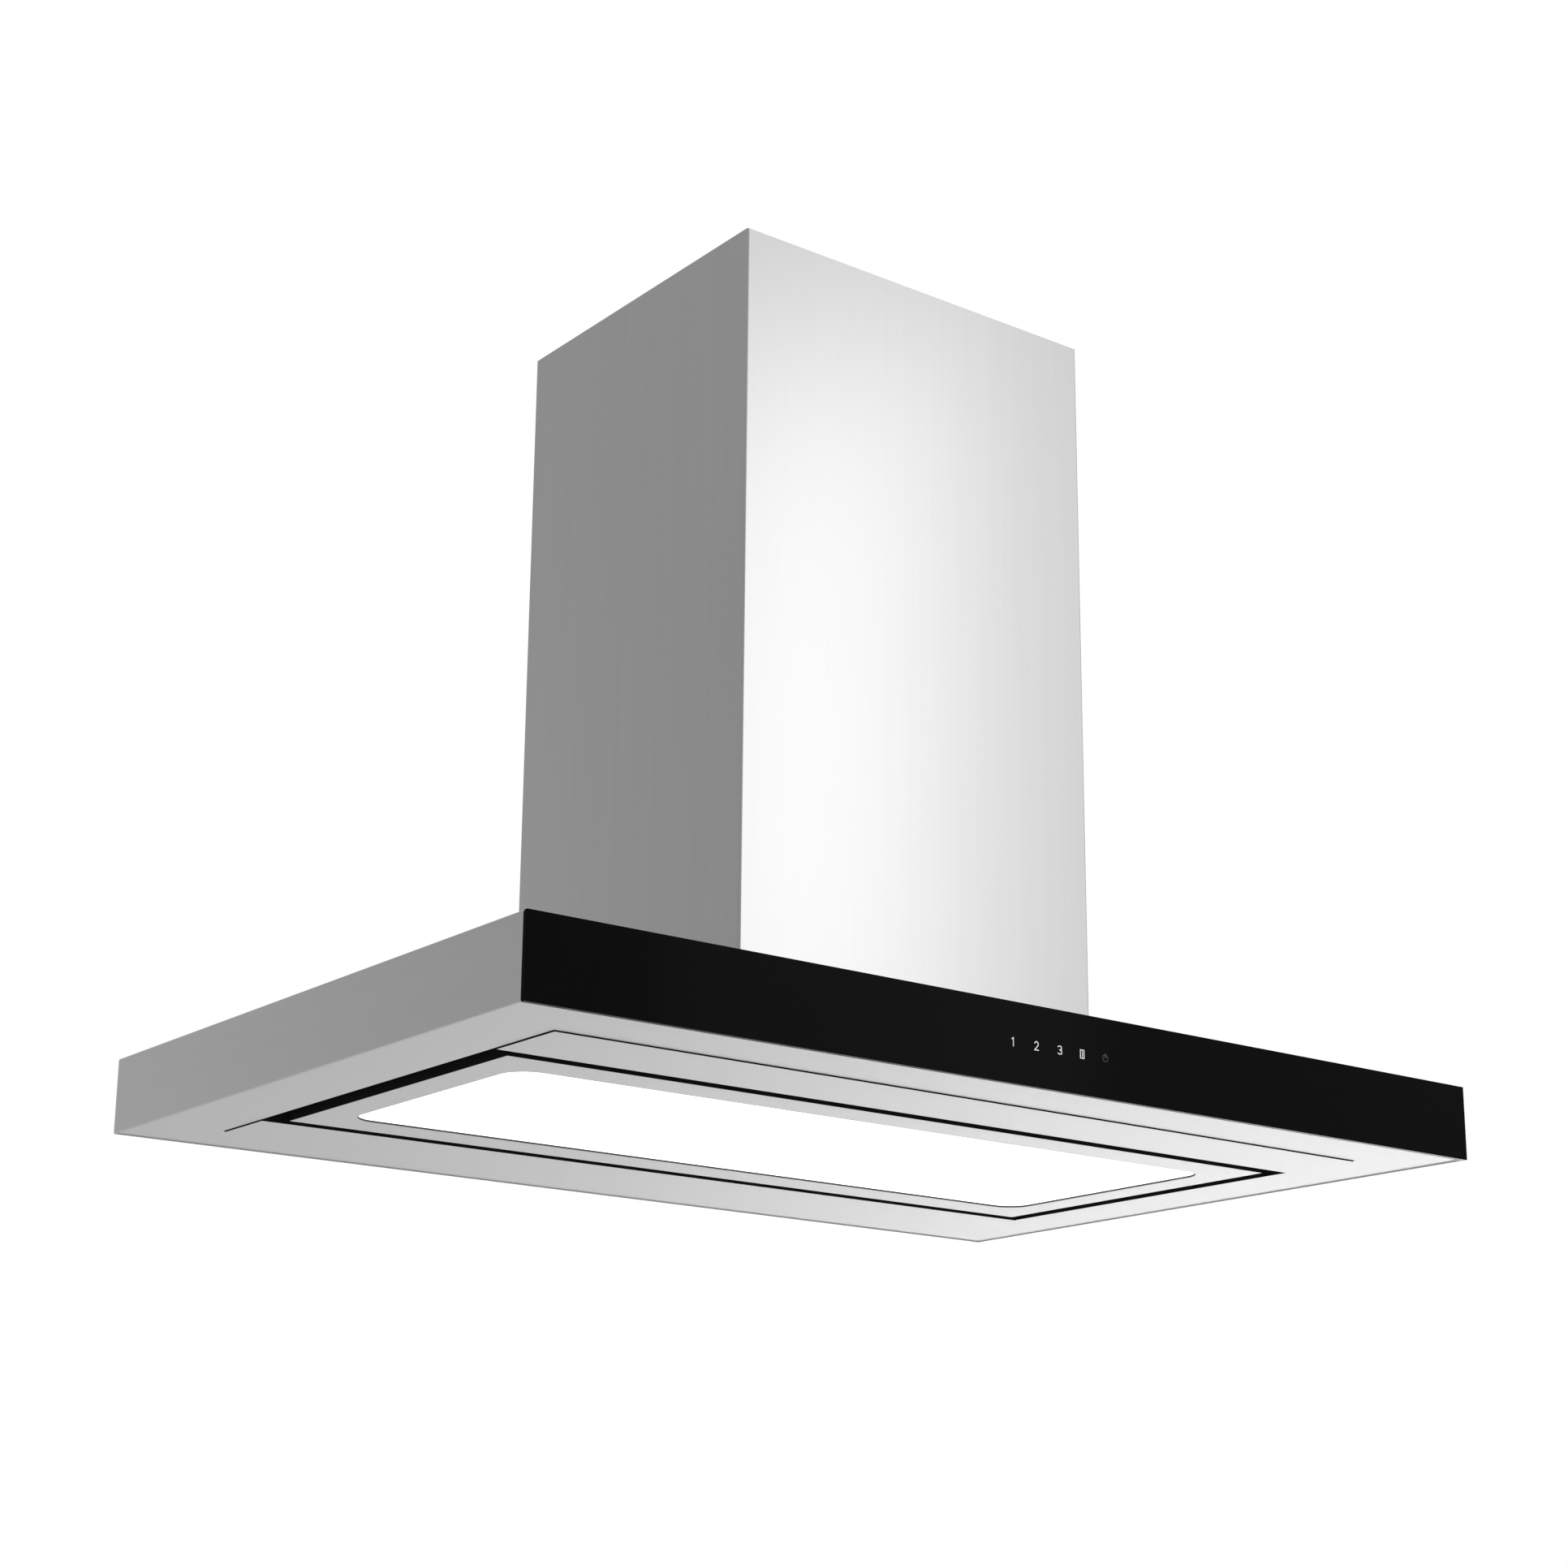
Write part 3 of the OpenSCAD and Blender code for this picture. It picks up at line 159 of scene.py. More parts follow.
def islands(name):
    """The box of each separate solid of a CAD node."""
    shape = bmesh.new()
    shape.from_mesh(nodes[name].data)
    bmesh.ops.remove_doubles(shape, verts=shape.verts, dist=weld)
    left, found = set(shape.verts), []
    while left:
        group, edge_of_group = set(), [left.pop()]
        while edge_of_group:
            vert = edge_of_group.pop()
            group.add(vert)
            for edge in vert.link_edges:
                other = edge.other_vert(vert)
                if other in left:
                    left.discard(other)
                    edge_of_group.append(other)
        spots = [v.co for v in group]
        found.append((Vector(min(c[i] for c in spots) for i in range(3)),
                      Vector(max(c[i] for c in spots) for i in range(3))))
    shape.free()
    return sorted(found, key=lambda box: tuple(round(c, 5) for c in box[0]))


zinc = galvanised("galvanised_steel", 85.0, 0.62)
dress(zinc, "ceiling_plate", "upper_legs", "lower_legs", "chimney_base_frame",
      "blower_support_plate")


# ---- Zinc-plated screws of the frame ----
# Pan-head and hexagon screws of bright zinc-plated steel; plating leaves them a little cloudy.
# They hold the legs, the base frame and the blower; the pins of the hinge and the flaps match them.

plated, start = start_finish("zinc_plated_screw")
spot = place(start, (1, 1, 1))
cloud = noise(start, spot, 420.0, 3.0)
close_finish(start, {
    "Base Color": blend_colours(start, cloud, (0.42, 0.43, 0.44, 1), (0.7, 0.71, 0.73, 1)),
    "Metallic": 1.0,
    "Roughness": 0.2 + 0.2 * cloud,
    "Normal": relief(start, noise(start, spot, 2600.0, 1.0), 0.08, 0.0001)})
dress(plated, "upper_leg_screws", "clamp_screws", "foot_screws", "blower_screws", "support_screws",
      "hinge_pins", "flap_pins")


# ---- Inner chimney ----
# The narrower telescopic section: a brushed stainless front folded round three sides, and a closing
# plate screwed to its return edges. It hangs from the ceiling plate; the outer one slides over it.

bend_edge = 0.00025
end_on = 0.8  # a face this far along the grain shows its other direction
grain_shift = 0.37  # metres between the scratches of faces that look different ways


def brushed_finish(name, dark, light, rough, fine):
    """Stainless sheet with brush lines along U, from broad bands down to single scratches."""
    finish, start = start_finish(name)
    lines = noise(start, place(start, (5.0, 1700.0 * fine, 1.0), "UV"), 1.0, 4.0, 0.65)
    bands = noise(start, place(start, (1.3, 90.0, 1.0), "UV"), 1.0, 3.0, 0.55)
    cloud = noise(start, place(start, (1, 1, 1)), 3.0, 3.0)
    close_finish(start, {
        "Base Color": blend_colours(start, lines * 0.5 + bands * 0.3 + cloud * 0.2,
                                    grey(dark), grey(light)),
        "Metallic": 1.0,
        "Roughness": rough - 0.05 + 0.1 * lines + 0.03 * bands,
        "Normal": relief(start, lines, 0.05, 0.00006)})
    return finish


def merged_copy(node, name):
    """A copy of a CAD node's mesh, merged, with its triangles joined in pairs."""
    source = nodes[node].data
    mesh = bpy.data.meshes.new(name)
    mesh.from_pydata([v.co for v in source.vertices], [],
                     [list(p.vertices) for p in source.polygons])
    shape = bmesh.new()
    shape.from_mesh(mesh)
    bmesh.ops.remove_doubles(shape, verts=shape.verts, dist=weld)
    bmesh.ops.dissolve_degenerate(shape, edges=shape.edges, dist=sliver)
    bmesh.ops.join_triangles(shape, faces=shape.faces, angle_face_threshold=flat_angle,
                             angle_shape_threshold=math.pi)
    shape.to_mesh(mesh)
    shape.free()
    return mesh


def mesh_of(shape, name):
    """The mesh of a bmesh, which is freed."""
    mesh = bpy.data.meshes.new(name)
    shape.to_mesh(mesh)
    shape.free()
    return mesh


def lay_grain(mesh, along, otherwise):
    """Writes a UV map in metres whose U runs along the brush lines on every face."""
    uv = mesh.uv_layers.new(name="grain")
    for face in mesh.polygons:
        normal = face.normal
        grain = along if abs(normal.dot(along)) < end_on else otherwise
        u = (grain - normal * normal.dot(grain)).normalized()
        v = normal.cross(u)
        shift = round(normal.x * 3 + normal.y * 5 + normal.z * 7) * grain_shift
        for loop in face.loop_indices:
            spot = mesh.vertices[mesh.loops[loop].vertex_index].co
            uv.data[loop].uv = (spot.dot(u) + shift, spot.dot(v) + shift)


def set_piece(mesh, body, finish, stands_for=(), bevel=0.0, segments=2, angle=30):
    """Makes a mesh a piece on a CAD body, with its edges broken."""
    piece = bpy.data.objects.new(mesh.name, mesh)
    bpy.context.scene.collection.objects.link(piece)
    for one in finish if isinstance(finish, (list, tuple)) else [finish]:
        mesh.materials.append(one)
    mesh.polygons.foreach_set("use_smooth", [True] * len(mesh.polygons))
    mesh.set_sharp_from_angle(angle=math.radians(angle))
    if bevel:
        edges = piece.modifiers.new("broken_edges", "BEVEL")
        edges.width, edges.segments, edges.limit_method = bevel, segments, "ANGLE"
        edges.angle_limit, edges.harden_normals = math.radians(angle), True
    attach(piece, body)
    if stands_for:
        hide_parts(*stands_for)
    return piece


ACROSS, DEPTH, UP = Vector((1, 0, 0)), Vector((0, 1, 0)), Vector((0, 0, 1))
brushed = brushed_finish("brushed_stainless", 0.53, 0.66, 0.33, 1.0)

for node in ("upper_chimney_front", "upper_chimney_back"):
    mesh = merged_copy(node, "inner_" + node.split("_", 1)[1])
    lay_grain(mesh, UP, ACROSS)
    set_piece(mesh, "ceiling_mount", brushed, [node], bend_edge)


# ---- Outer chimney ----
# The wide lower section that shows: one brushed stainless sheet folded to a front and two sides
# with tight bends, its closing plate let in at the back. It stands on the canopy.

outer_edge = 0.00025

for node in ("lower_chimney_front", "lower_chimney_back"):
    mesh = merged_copy(node, "outer_" + node.split("_", 1)[1])
    lay_grain(mesh, UP, ACROSS)
    set_piece(mesh, "canopy", brushed, [node], outer_edge)


# ---- Chimney screws ----
# Small pan-head screws with a cross recess, in two rows up the back of the outer section. They run
# through the closing plate into the folded front's return edges; the inner section's stay plain.

recess_width, head_height, head_sides = 0.0009, 0.0019, 28
rim_share, crown_share, top_share, arm_share = 0.45, 0.55, 0.62, 1.05


def input_of(tree, kind, name, value=None):
    made = tree.interface.new_socket(name=name, in_out="INPUT", socket_type=kind)
    if value is not None:
        made.default_value = value
    return made.identifier


def wire(tree, kind, settings, inputs):
    """Adds a geometry node; a pair (node, socket name) as a value is a link."""
    made = tree.nodes.new(kind)
    for key, value in settings.items():
        setattr(made, key, value)
    for key, value in inputs.items():
        socket = input_socket(made, key)
        for one in value if isinstance(value, list) else [value]:
            if isinstance(one, tuple) and isinstance(one[0], bpy.types.Node):
                tree.links.new(one[0].outputs[one[1]], socket)
            else:
                socket.default_value = one
    return made


def times(tree, value, factor):
    return wire(tree, "ShaderNodeMath", {"operation": "MULTIPLY"}, {0: value, 1: factor})


def vector_of(tree, **parts):
    return wire(tree, "ShaderNodeCombineXYZ", {}, parts)


def raised(tree, shape, height):
    """The shape moved up by the height."""
    lift = vector_of(tree, Z=height)
    return wire(tree, "GeometryNodeTransform", {}, {"Geometry": shape, "Translation": (lift, 0)})


def start_tree(name, sizes, output):
    """A tree that grows a shape on points, its inputs' identifiers and its input node."""
    tree = bpy.data.node_groups.new(name, "GeometryNodeTree")
    input_of(tree, "NodeSocketGeometry", "Spots")
    ids = {key: input_of(tree, "NodeSocketFloat", key, value) for key, value in sizes.items()}
    ids["Metal"] = input_of(tree, "NodeSocketMaterial", "Metal")
    tree.interface.new_socket(name=output, in_out="OUTPUT", socket_type="NodeSocketGeometry")
    return tree, ids, tree.nodes.new("NodeGroupInput")


def close_tree(tree, given, shape, turn=None):
    """Puts the shape on every point, makes the copies real and gives them the metal."""
    inputs = {"Points": (given, "Spots"), "Instance": shape}
    if turn:
        inputs["Rotation"] = turn
    placed = wire(tree, "GeometryNodeInstanceOnPoints", {}, inputs)
    real = wire(tree, "GeometryNodeRealizeInstances", {}, {"Geometry": (placed, 0)})
    painted = wire(tree, "GeometryNodeSetMaterial", {}, {
        "Geometry": (real, 0), "Material": (given, "Metal")})
    wire(tree, "NodeGroupOutput", {}, {0: (painted, 0)})


def screw_tree():
    """Cross-recessed pan heads on points, each turned to the point's facing."""
    tree, ids, given = start_tree("pan_head_screws", {
        "Head Radius": 0.004, "Head Height": 0.002, "Recess Width": 0.001}, "Screws")
    radius, height, width = [(given, key) for key in ("Head Radius", "Head Height", "Recess Width")]
    rim, crown = times(tree, height, rim_share), times(tree, height, crown_share)
    top_r, arm = times(tree, radius, top_share), times(tree, radius, arm_share)
    base = wire(tree, "GeometryNodeMeshCylinder", {}, {
        "Vertices": head_sides, "Radius": radius, "Depth": (rim, 0)})
    base_up = raised(tree, (base, "Mesh"), (times(tree, (rim, 0), 0.5), 0))
    dome = wire(tree, "GeometryNodeMeshCone", {}, {
        "Vertices": head_sides, "Side Segments": 1, "Radius Top": (top_r, 0),
        "Radius Bottom": radius, "Depth": (crown, 0)})
    dome_up = raised(tree, (dome, "Mesh"), (rim, 0))
    head = wire(tree, "GeometryNodeMeshBoolean", {"operation": "UNION"}, {
        "Mesh 2": [(base_up, 0), (dome_up, 0)]})
    bars = []
    for x, y in (((arm, 0), width), (width, (arm, 0))):
        size = vector_of(tree, X=x, Y=y, Z=height)
        bar = wire(tree, "GeometryNodeMeshCube", {}, {"Size": (size, 0)})
        bars.append((raised(tree, (bar, "Mesh"), height), 0))
    cut = wire(tree, "GeometryNodeMeshBoolean", {"operation": "DIFFERENCE"}, {
        "Mesh 1": (head, "Mesh"), "Mesh 2": bars})
    facing = wire(tree, "GeometryNodeInputNamedAttribute", {"data_type": "FLOAT_VECTOR"}, {
        "Name": "facing"})
    turn = wire(tree, "FunctionNodeAlignRotationToVector", {"axis": "Z"}, {
        "Vector": (facing, "Attribute")})
    close_tree(tree, given, (cut, "Mesh"), (turn, 0))
    return tree, ids


def grow(name, spots, tree, ids, values, attributes=None):
    """Runs a Geometry Nodes tree on a set of points and returns the plain mesh that comes of it."""
    seed = bpy.data.meshes.new(name + "_spots")
    seed.from_pydata(spots, [], [])
    for key, vectors in (attributes or {}).items():
        layer = seed.attributes.new(key, "FLOAT_VECTOR", "POINT")
        layer.data.foreach_set("vector", [c for v in vectors for c in v])
    holder = bpy.data.objects.new(name + "_spots", seed)
    bpy.context.scene.collection.objects.link(holder)
    growth = holder.modifiers.new("grow", "NODES")
    growth.node_group = tree
    for key, value in values.items():
        growth[ids[key]] = value
    bpy.context.view_layer.update()
    grown = bpy.data.meshes.new_from_object(
        holder.evaluated_get(bpy.context.evaluated_depsgraph_get()))
    grown.name = name
    for key in attributes or {}:
        if key in grown.attributes:
            grown.attributes.remove(grown.attributes[key])
    grown.materials.clear()
    bpy.data.objects.remove(holder)
    return grown


screws, screw_ids = screw_tree()


def screw_row(node, name, body, facing):
    """Replaces a CAD node of screws by pan heads where its solids end, facing outwards."""
    spots, sizes = [], []
    for low, high in islands(node):
        middle, size = (low + high) / 2, high - low
        sizes.append(max(size[i] for i in range(3) if not facing[i]) / 2)
        reach = sum(high[i] if facing[i] > 0 else -low[i] for i in range(3) if facing[i])
        spots.append(Vector(facing) * reach
                     + Vector(middle[i] if not facing[i] else 0 for i in range(3)))
    spots = [s - Vector(facing) * head_height for s in spots]
    mesh = grow(name, spots, screws, screw_ids, {
        "Head Radius": sizes[0], "Head Height": head_height, "Recess Width": recess_width,
        "Metal": plated}, {"facing": [facing] * len(spots)})
    set_piece(mesh, body, plated, [node], angle=25)


screw_row("lower_chimney_screws", "outer_chimney_screws", "canopy", (0, 1, 0))
dress(plated, "upper_chimney_screws")


# ---- Canopy shell ----
# The flat hood: a brushed stainless top with its two sides and back folded down, corners welded and
# ground. Its front is a plain inner wall that carries the glass.

shell_bend, shell_edge = 0.0011, 0.00015
near, short_edge = 1e-4, 0.03


def soften_bends(piece, width, chosen, segments=4):
    """Rounds the edges whose middle passes the test, as a press brake leaves them."""
    mesh = piece.data
    weight = mesh.attributes.new("bevel_weight_edge", "FLOAT", "EDGE")
    weight.data.foreach_set("value", [
        1.0 if chosen((mesh.vertices[e.vertices[0]].co + mesh.vertices[e.vertices[1]].co) / 2,
                      mesh.vertices[e.vertices[1]].co - mesh.vertices[e.vertices[0]].co) else 0.0
        for e in mesh.edges])
    bend = piece.modifiers.new("bends", "BEVEL")
    bend.width, bend.segments = width, segments
    bend.limit_method, bend.harden_normals = "WEIGHT", True
    bpy.context.view_layer.update()
    piece.modifiers.move(len(piece.modifiers) - 1, 0)


shell_low, shell_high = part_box("canopy_shell")
mesh = merged_copy("canopy_shell", "canopy_top_and_sides")
lay_grain(mesh, ACROSS, DEPTH)
shell = set_piece(mesh, "canopy", brushed, ["canopy_shell"], shell_edge)


def outer_bend(middle, run):
    """True for the shell's own corners: its rims at the top and bottom and the upright ones."""
    at_side = min(abs(middle.x - shell_low.x), abs(middle.x - shell_high.x)) < near
    at_back = abs(middle.y - shell_high.y) < near
    at_end = min(abs(middle.z - shell_low.z), abs(middle.z - shell_high.z)) < near
    return run.length > short_edge and (at_side or at_back) and (at_end or (at_side and at_back))


soften_bends(shell, shell_bend, outer_bend)


# ---- Front glass ----
# A strip of black-backed float glass over the whole front, its edges ground and polished. It is
# held on the shell by two lines of dark grey foam tape.

glass_edge, glass_segments = 0.0004, 3
print_depth = 0.00006  # the glass's face lies this far back, under the ink

black_glass, start = start_finish("black_glass")
spot = place(start, (1, 1, 1))
haze = noise(start, spot, 4.0, 4.0)
dust = noise(start, spot, 900.0, 2.0)
close_finish(start, {
    "Base Color": blend_colours(start, haze, (0.0022, 0.0022, 0.0023, 1),
                                (0.0045, 0.0045, 0.0047, 1)),
    "Roughness": 0.09 + 0.05 * haze + 0.03 * dust,
    "Specular IOR Level": 0.02,
    "IOR": 1.5})

mesh = merged_copy("glass_front", "front_glass")
glass_low, glass_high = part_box("glass_front")
for vert in mesh.vertices:
    if vert.co.y < glass_low.y + on_plane:
        vert.co.y += print_depth
set_piece(mesh, "canopy", black_glass, ["glass_front"], glass_edge, glass_segments)

foam, start = start_finish("foam_tape")
spot = place(start, (1, 1, 1))
pores = start.node("ShaderNodeTexVoronoi", {}, {"Vector": spot, "Scale": 1800.0}, "Distance")
close_finish(start, {
    "Base Color": blend_colours(start, pores, (0.035, 0.035, 0.037, 1), (0.09, 0.09, 0.092, 1)),
    "Roughness": 0.85 - 0.1 * pores,
    "Normal": relief(start, pores, 0.3, 0.0002)})
dress(foam, "glass_tape")


# ---- Touch marks ----
# Five small marks printed on the glass in front of the touch board: three speeds, light and switch.
# White ink, with the switch's mark in a dimmer grey; both are given a faint painted glow.

mark_height, mark_line, switch_line = 0.0060, 0.00075, 0.0005
mark_lift, ink_gap = 0.0002, 1e-6
mark_y = glass_low.y + print_depth / 2
mark_z = (glass_low.z + glass_high.z) / 2 + mark_lift


def ink(name, shade):
    # Printed ink of the given shade, with a faint painted glow added through its emission.
    finish, start = start_finish(name)
    grain = noise(start, place(start, (1, 1, 1)), 2500.0, 2.0)
    close_finish(start, {
        "Base Color": blend_colours(start, grain, grey(shade * 0.85), grey(shade)),
        "Roughness": 0.45 + 0.1 * grain,
        "Specular IOR Level": 0.2,
        "Emission Color": blend_colours(start, grain, grey(shade * 0.8), grey(shade)),
        "Emission Strength": 0.35})
    return finish


def stroke_mesh(name, lines, width):
    """Thin flat strokes on the glass; each line is a list of points in X and Z."""
    shape = bmesh.new()
    for line in lines:
        for (x0, z0), (x1, z1) in zip(line, line[1:]):
            run = Vector((x1 - x0, 0, z1 - z0))
            side = Vector((run.z, 0, -run.x)).normalized() * width / 2
            along = run.normalized() * width / 2
            a, b = Vector((x0, mark_y, z0)) - along, Vector((x1, mark_y, z1)) + along
            thick = Vector((0, print_depth / 2 - ink_gap, 0))
            corners = (a - side, b - side, b + side, a + side)
            outer = [shape.verts.new(p - thick) for p in corners]
            inner = [shape.verts.new(p + thick) for p in corners]
            shape.faces.new(outer)
            shape.faces.new(inner[::-1])
            for i in range(4):
                j = (i + 1) % 4
                shape.faces.new((outer[i], inner[i], inner[j], outer[j]))
    bmesh.ops.recalc_face_normals(shape, faces=shape.faces)
    return mesh_of(shape, name)


def moved(lines, x):
    return [[(x + a * mark_height, mark_z + b * mark_height) for a, b in line] for line in lines]


# Each sign is drawn in mark heights about its own middle.
one = [[(-0.12, 0.34), (0.08, 0.5), (0.08, -0.5)]]
two = [[(-0.28, 0.32), (-0.12, 0.5), (0.14, 0.5), (0.28, 0.3), (0.24, 0.06), (-0.3, -0.5),
        (0.3, -0.5)]]
three = [[(-0.28, 0.4), (-0.05, 0.5), (0.24, 0.42), (0.26, 0.12), (-0.02, 0.02)],
         [(-0.02, 0.02), (0.28, -0.1), (0.26, -0.42), (-0.04, -0.5), (-0.3, -0.4)]]
lamp = [[(-0.3, -0.5), (-0.3, 0.5), (0.3, 0.5), (0.3, -0.5), (-0.3, -0.5)],
        [(0.02, -0.3), (0.02, 0.3)]]
ring_r, ring_from, ring_arc, ring_steps = 0.42, 35, 290, 20
ring_angles = [math.radians(ring_from + ring_arc * i / ring_steps) for i in range(ring_steps + 1)]
ring = [(ring_r * math.sin(a), ring_r * math.cos(a)) for a in ring_angles]
switch, switch_x = [ring, [(0, 0.05), (0, 0.55)]], 0.0500
white_signs = ((one, -0.0402), (two, -0.0175), (three, 0.0052), (lamp, 0.0271))
marks = [line for sign, x in white_signs for line in moved(sign, x)]
white_ink = ink("white_ink", 0.75)
set_piece(stroke_mesh("touch_marks", marks, mark_line), "canopy", white_ink)
set_piece(stroke_mesh("switch_mark", moved(switch, switch_x), switch_line), "canopy",
          ink("grey_ink", 0.14))


# ---- Touch board and its holder ----
# A green epoxy board with sprung copper pads pressed to the back of the glass, in a black moulded
# frame that is screwed behind the shell's front wall.

board, start = start_finish("circuit_board")
spot = place(start, (1, 1, 1))
tracks = start.node("ShaderNodeTexBrick", {"offset": 0.37, "squash": 1.0}, {
    "Vector": spot, "Color1": (0.012, 0.11, 0.045, 1), "Color2": (0.016, 0.14, 0.055, 1),
    "Mortar": (0.03, 0.2, 0.08, 1), "Scale": 160.0, "Mortar Size": 0.05}, "Color")
close_finish(start, {
    "Base Color": tracks,
    "Roughness": 0.35 + 0.1 * noise(start, spot, 300.0),
    "Coat Weight": 0.3})
dress(board, "touch_board", "control_board")


def moulded(name, dark, light, rough, grain):
    """Injection-moulded plastic with a fine spark-eroded texture."""
    finish, start = start_finish(name)
    spot = place(start, (1, 1, 1))
    speck = noise(start, spot, grain, 2.0)
    flow = noise(start, spot, 12.0, 3.0)
    close_finish(start, {
        "Base Color": blend_colours(start, speck * 0.5 + flow * 0.5, dark, light),
        "Roughness": rough + 0.12 * speck,
        "Normal": relief(start, speck, 0.18, 0.0001)})
    return finish


black_plastic = moulded(
    "black_plastic", (0.012, 0.012, 0.013, 1), (0.03, 0.03, 0.031, 1), 0.42, 1700.0)
grey_plastic = moulded(
    "grey_plastic", (0.07, 0.072, 0.077, 1), (0.11, 0.112, 0.118, 1), 0.45, 1400.0)
white_plastic = moulded(
    "white_plastic", (0.62, 0.62, 0.6, 1), (0.76, 0.76, 0.74, 1), 0.38, 1600.0)
dress(black_plastic, "touch_board_holder")


# ---- Control box, lamp driver and leads ----
# Flame-resistant black boxes with snap lids on the left of the fan, a white driver for the light,
# and round grey leads that rise behind the fan to the terminal box.

dress(black_plastic, "control_box", "control_box_lid", "terminal_box", "terminal_box_lid")
dress(white_plastic, "led_driver", "capacitor")

sheath, start = start_finish("cable_sheath")
spot = place(start, (1, 1, 1))
scuff = noise(start, spot, 240.0, 4.0)
close_finish(start, {
    "Base Color": blend_colours(start, scuff, (0.1, 0.1, 0.105, 1), (0.17, 0.17, 0.175, 1)),
    "Roughness": 0.5 + 0.15 * scuff,
    "Normal": relief(start, scuff, 0.1, 0.0001)})
dress(sheath, "inner_wiring")
dress(black_plastic, "cable_gland")


# ---- Fan ----
# A double-inlet scroll fan: two dark grey moulded halves screwed together, a galvanised wheel with
# forward-curved blades on the shaft of a motor that sits in the left inlet on rubber rings.

dress(grey_plastic, "blower_shell_left", "blower_shell_right")

motor_can, start = start_finish("motor_can")
spot = place(start, (1, 1, 1))
rolled = noise(start, place(start, (30.0, 700.0, 700.0)), 1.0, 3.0)
cloud = noise(start, spot, 30.0, 4.0)
close_finish(start, {
    "Base Color": blend_colours(start, rolled * 0.5 + cloud * 0.5, (0.34, 0.35, 0.36, 1),
                                (0.56, 0.57, 0.58, 1)),
    "Metallic": 1.0,
    "Roughness": 0.28 + 0.18 * cloud,
    "Normal": relief(start, rolled, 0.08, 0.0001)})
dress(motor_can, "motor", "motor_shaft")
dress(zinc, "motor_bracket")

rubber, start = start_finish("black_rubber")
spot = place(start, (1, 1, 1))
bloom = noise(start, spot, 150.0, 4.0)
close_finish(start, {
    "Base Color": blend_colours(start, bloom, (0.015, 0.015, 0.015, 1), (0.04, 0.04, 0.04, 1)),
    "Roughness": 0.75 + 0.15 * bloom,
    "Normal": relief(start, noise(start, spot, 2200.0), 0.2, 0.0001)})
dress(rubber, "motor_grommets")
dress(galvanised("wheel_steel", 240.0, 0.66), "impeller")


# ---- Outlet spigot and its damper ----
# A black moulded ring on the support plate that the duct slips over, with two flaps that fall shut
# when the fan stops, each on its own steel pin.

dress(black_plastic, "outlet_spigot", "flap_front", "flap_back")


# ---- Underside frame and fixed strips ----
# The border round the opening and a loose strip at its front and back, all in brushed stainless,
# with their edges turned up. The walls of the recess behind them are painted black as shade.

frame_edge, strip_edge = 0.0002, 0.0003
end_inset = 0.001  # from the shell's sides to the border's ends
frame_face, strip_face = 0.0011, 0.0004  # this much of an edge, from below, stays bright

# Near-black paint for the upright walls of the recess: painted shade where those walls would
# otherwise catch light from below.
painted_shade, start = start_finish("black_enamel")
spot = place(start, (1, 1, 1))
peel = noise(start, spot, 260.0, 2.0)
close_finish(start, {
    "Base Color": blend_colours(start, peel, (0.004, 0.004, 0.004, 1), (0.009, 0.009, 0.009, 1)),
    "Roughness": 0.5 + 0.15 * peel,
    "Specular IOR Level": 0.15,
    "Normal": relief(start, peel, 0.1, 0.0002)})


def paint_shade_on(mesh, inside):
    """Puts the second finish, black painted shade, on the faces that pass the test."""
    for face in mesh.polygons:
        if inside(face):
            face.material_index = 1


frame_low, frame_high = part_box("underside_frame")
mesh = merged_copy("underside_frame", "underside_border")
for vert in mesh.vertices:
    if frame_high.x - abs(vert.co.x) < on_plane:
        vert.co.x = math.copysign(shell_high.x - end_inset, vert.co.x)
lay_grain(mesh, ACROSS, DEPTH)
set_piece(mesh, "canopy", [brushed, painted_shade], ["underside_frame"], frame_edge)
# The upturned edges of the border, above their bright lower rim, get the black painted shade.
paint_shade_on(mesh, lambda face: abs(face.normal.z) < 0.5 and face.center.z > frame_low.z + frame_face)

for node in ("front_strip", "back_strip"):
    mesh = merged_copy(node, node)
    lay_grain(mesh, ACROSS, DEPTH)
    set_piece(mesh, "canopy", [brushed, painted_shade], [node], strip_edge)
    # The strips' upright faces above a thin bright rim get the black painted shade too.
    paint_shade_on(mesh, lambda face: (
        abs(face.normal.z) < 0.9 and face.center.z > shell_low.z + strip_face))


# ---- Filter tray ----
# Galvanised roof of the recess, with ledges and a middle rail for the two filters.
# It is spot-welded to the upturned edges of the border.

dress(zinc, "filter_tray")


# ---- Grease filters ----
# Two aluminium cassettes: a channel frame round layers of expanded mesh, with a black sliding latch
# and a small ring spring. They lift out towards the middle rail.

filter_edge = 0.0003
filter_metal = brushed_finish("filter_aluminium", 0.66, 0.8, 0.3, 0.6)
for side in ("left", "right"):
    mesh = merged_copy("filter_frame_" + side, "filter_frame_" + side + "_rolled")
    lay_grain(mesh, ACROSS, DEPTH)
    set_piece(mesh, "canopy", filter_metal, ["filter_frame_" + side], filter_edge)

net_cell_x, net_cell_y = 0.0085, 0.0056
strand_w, strand_t = 0.0009, 0.0006
net_depth, net_inset = 0.0011, 0.009
latch_room_x, latch_room_y = 0.058, 0.036  # the nets stop round the latches


